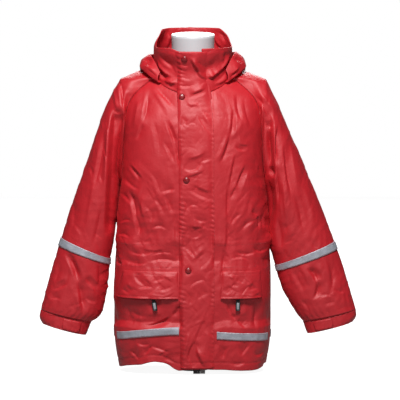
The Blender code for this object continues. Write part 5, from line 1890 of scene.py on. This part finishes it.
tree.links.new(place.outputs["Object"], film.inputs["Place"])
folds = tree.nodes.new("ShaderNodeBump")
folds.inputs["Strength"].default_value = 0.8
folds.inputs["Distance"].default_value = 0.0008
tree.links.new(film.outputs["Height"], folds.inputs["Height"])
tree.links.new(bump.outputs["Normal"], folds.inputs["Normal"])
tree.links.new(folds.outputs["Normal"], shader.inputs["Normal"])


def front_band(start_x, end_x):
    def place(across, up):
        x = between(start_x, end_x, across)
        z = read(BODY_BAND, "height", x) + (up - 0.5) * BAND_HEIGHT
        return on_front(x, z, np.full_like(z, LAY_GAP))

    return place


def back_band(across, up):
    s = between(BACK_BAND_END, -BACK_BAND_END, across)
    outer = BODY_BAND["across"][-1]
    z = between(read(BODY_BAND, "height", outer), read(BODY_BAND, "height", -outer), across)
    z = z + (up - 0.5) * BAND_HEIGHT
    v = z / NECK_BACK_Z
    for _ in range(8):
        v = v + (z - trunk(1, s, v)[..., 2]) / NECK_BACK_Z
    return trunk_cloth(1, s, v, np.full_like(v, LAY_GAP))


def sleeve_band(side):
    def place(across, up):
        return sleeve_cloth(side, across, between(*SLEEVE_BAND[side], up), np.full_like(up, LAY_GAP))

    return place


TAPE = {"material": reflective, "slot": "reflective_tape", "wall": TAPE_WALL, "grow": 1}
cloth(
    "band_front_left_tape", "band_front_left", front_band(*FRONT_BAND_LEFT), 72, 6,
    (0.190, 0.017), "laid", ["front_left_cloth"], **TAPE,
)
cloth(
    "band_front_right_tape", "band_front_right", front_band(*FRONT_BAND_RIGHT), 66, 6,
    (0.165, 0.017), "laid", ["front_right_cloth"], **TAPE,
)
cloth("band_back_tape", "band_back", back_band, 130, 6, (0.44, 0.017), "laid", ["back_cloth"], **TAPE)
for side in (-1, 1):
    name = SIDE_NAME[side]
    cloth(
        f"band_sleeve_{name}_tape", f"band_sleeve_{name}", sleeve_band(side), 144, 6,
        (0.27, 0.020), "laid", [f"sleeve_{name}_cloth"], tube=True, **TAPE,
    )


# --- Stitching --------------------------------------------------------------------------
# Red polyester thread in even lockstitches: along the hem, the waist tunnel, both edges of
# the storm flap, the pocket flaps, the raglan seams, the collar's rim, cuffs and bands.


red_thread, tree, shader = new_material("red_thread", 0.55)
place = tree.nodes.new("ShaderNodeTexCoord")
uneven = linked_noise(tree, place.outputs["Object"], 700, 3)
tint = tree.nodes.new("ShaderNodeValToRGB")
tint.color_ramp.elements[0].color = (0.30, 0.008, 0.014, 1)
tint.color_ramp.elements[1].color = (0.52, 0.020, 0.030, 1)
tree.links.new(uneven, tint.inputs["Fac"])
tree.links.new(tint.outputs["Color"], shader.inputs["Base Color"])
shader.inputs["Sheen Weight"].default_value = 0.2
STITCH = (0.0022, 0.00034)
STITCH_PITCH = 0.0030
THREAD_OUT = 0.00015


def thread_stitch():
    """One stitch: a short rounded bar that dips into the cloth at both ends."""
    bm = bmesh.new()
    bmesh.ops.create_icosphere(bm, subdivisions=1, radius=0.5)
    bmesh.ops.scale(bm, verts=bm.verts, vec=(STITCH[0], STITCH[1] * 2, STITCH[1] * 2))
    return bm


def outwards(point):
    return (point[0], point[1], 0)


def sew(name, paths, out=outwards):
    repeated(name, thread_stitch(), paths, STITCH_PITCH, out, red_thread)


def trunk_line(facing, v, inset=0.01):
    s = np.linspace(-1 + inset, 1 - inset, 360)
    return trunk_cloth(facing, s, np.full_like(s, v), np.full_like(s, THREAD_OUT))


def front_line(x, z):
    return on_front(x, z, np.full_like(x, THREAD_OUT))


sew("hem_stitches", [trunk_line(-1, HEM_STITCH / NECK_FRONT_Z), trunk_line(1, HEM_STITCH / NECK_FRONT_Z)])
tunnel = []
for foot in (0.238, 0.286):
    for left, right in ((-0.160, -0.0335), (0.0525, 0.158)):
        x = np.linspace(left, right, 120)
        tunnel.append(front_line(x, np.full_like(x, foot)))
    tunnel.append(trunk_line(1, foot / NECK_BACK_Z, 0.02))
sew("waist_tunnel_stitches", tunnel)

flap_lines = []
for inset_free, inset_sewn, foot, top in ((0.0060, 0, 0.018, 0.704), (0, 0.0045, 0.018, 0.600)):
    z = np.linspace(foot, top, 420)
    free, sewn = read(STORM_FLAP, "free_x", z), read(STORM_FLAP, "sewn_x", z)
    x = free + inset_free if inset_free else sewn - inset_sewn
    lie = between(SEWN_DOWN, LAY_GAP, ease((sewn - x) / 0.010))
    height = lie + np.maximum(flap_relief(x, z), -0.0004) + FLAP_WALL + THREAD_OUT
    flap_lines.append(front_and_collar(x, z, height))
sew("storm_flap_stitches", flap_lines, forwards)

pocket_lines = []
for side, left_ends, right_ends, slider_x, lean in POCKETS:
    place_on = pocket_flap(left_ends, right_ends)
    step = 1e-3
    across = np.linspace(0.03, 0.97, 160)
    for up in (0.084, 0.882):
        row = np.full_like(across, up)
        here = place_on(across, row)
        pocket_lines.append(here + np.array([0, -0.0014 - THREAD_OUT, 0]))
sew("pocket_flap_stitches", pocket_lines, forwards)

raglan_lines = []
for side in (-1, 1):
    for start, stop in ((0.09, 0.46), (0.54, 0.91)):
        a = np.linspace(start, stop, 260)
        raglan_lines.append(sleeve_cloth(side, a, np.full_like(a, 0.10), np.full_like(a, THREAD_OUT)))
sew("raglan_stitches", raglan_lines)

angle = np.linspace(0.22, 2 * math.pi - 0.42, 420)
rim = np.full_like(angle, 1 - 0.006 / 0.09)
sew("collar_rim_stitches", [collar_cloth(angle, rim, np.full_like(angle, THREAD_OUT))])

cuff_lines = []
for side in (-1, 1):
    a = np.linspace(0.0, 0.998, 240)
    for ring in (0.16, 1.72):
        cuff_lines.append(cuff_cloth(side, a, np.full_like(a, ring), np.full_like(a, THREAD_OUT)))
sew("cuff_stitches", cuff_lines, lambda point: (point[0] * 0.2, point[1], 0.02))

band_lines = []
reach = BAND_HEIGHT / 2 - 0.0016
for start_x, end_x in (FRONT_BAND_LEFT, FRONT_BAND_RIGHT):
    x = np.linspace(start_x + 0.001, end_x - 0.001, 160)
    for offset in (-reach, reach):
        z = read(BODY_BAND, "height", x) + offset
        band_lines.append(on_front(x, z, np.full_like(x, LAY_GAP + TAPE_WALL + THREAD_OUT)))
for offset in (0.1, 0.9):
    a = np.linspace(0.004, 0.996, 320)
    points = back_band(a, np.full_like(a, offset))
    band_lines.append(points + np.array([0, TAPE_WALL, 0]))
for side in (-1, 1):
    a = np.linspace(0, 0.998, 240)
    for offset in (0.1, 0.9):
        ring = np.full_like(a, between(*SLEEVE_BAND[side], offset))
        height = np.full_like(a, LAY_GAP + TAPE_WALL + THREAD_OUT)
        band_lines.append(sleeve_cloth(side, a, ring, height))
sew("band_stitches", band_lines)


# --- Floor, light and camera ------------------------------------------------------------
# A plain pale floor, one soft light from high in front, a weak one low in front, a broad
# one behind so that the back shows its cloth too, and a long lens a little above the jacket.


floor_paint, tree, shader = new_material("pale_floor", 0.9)
shader.inputs["Base Color"].default_value = (0.28, 0.28, 0.28, 1)
shader.inputs["Emission Color"].default_value = (1, 1, 1, 1)
seen = tree.nodes.new("ShaderNodeLightPath")
glow = linked_math(tree, "MULTIPLY", seen.outputs["Is Camera Ray"], 0.93)
tree.links.new(glow, shader.inputs["Emission Strength"])
bm = bmesh.new()
bmesh.ops.create_grid(bm, x_segments=1, y_segments=1, size=4)
floor = shown("floor", bm, floor_paint)

world = bpy.data.worlds.new("studio")
bpy.context.scene.world = world
world.use_nodes = True
sky = world.node_tree.nodes["Background"]
sky.inputs["Color"].default_value = (1, 1, 1, 1)
seen = world.node_tree.nodes.new("ShaderNodeLightPath")
strength = world.node_tree.nodes.new("ShaderNodeMapRange")
strength.inputs["To Min"].default_value = 0.05
strength.inputs["To Max"].default_value = 1.0
world.node_tree.links.new(seen.outputs["Is Camera Ray"], strength.inputs["Value"])
world.node_tree.links.new(strength.outputs["Result"], sky.inputs["Strength"])
bpy.context.scene.view_settings.view_transform = "Standard"


def soft_light(name, place, aim, size, power):
    light = bpy.data.lights.new(name, "AREA")
    light.shape = "RECTANGLE"
    light.size, light.size_y = size
    light.energy = power
    lamp = bpy.data.objects.new(name, light)
    lamp.location = place
    lamp.rotation_euler = (Vector(aim) - Vector(place)).to_track_quat("-Z", "Y").to_euler()
    bpy.context.scene.collection.objects.link(lamp)


soft_light("key_light", (-0.05, -2.1, 2.95), (0, 0, 0.45), (0.7, 0.7), 126)
soft_light("fill_light", (0.1, -3.6, 1.2), (0, 0, 0.4), (0.8, 0.8), 7)
soft_light("back_light", (0.2, 2.9, 2.0), (0, 0, 0.4), (1.6, 1.2), 90)

AIM = Vector((0.0154, 0.0, 0.3751))
PITCH = math.radians(5.5)
DISTANCE = 11.0
FRAME_WIDTH = 0.88
lens = bpy.data.cameras.new("camera")
lens.sensor_width = 36
lens.lens = 36 * DISTANCE / FRAME_WIDTH
lens.clip_end = 100
camera = bpy.data.objects.new("camera", lens)
camera.location = AIM + DISTANCE * Vector((0, -math.cos(PITCH), math.sin(PITCH)))
camera.rotation_euler = (AIM - camera.location).to_track_quat("-Z", "Y").to_euler()
bpy.context.scene.collection.objects.link(camera)
bpy.context.scene.camera = camera
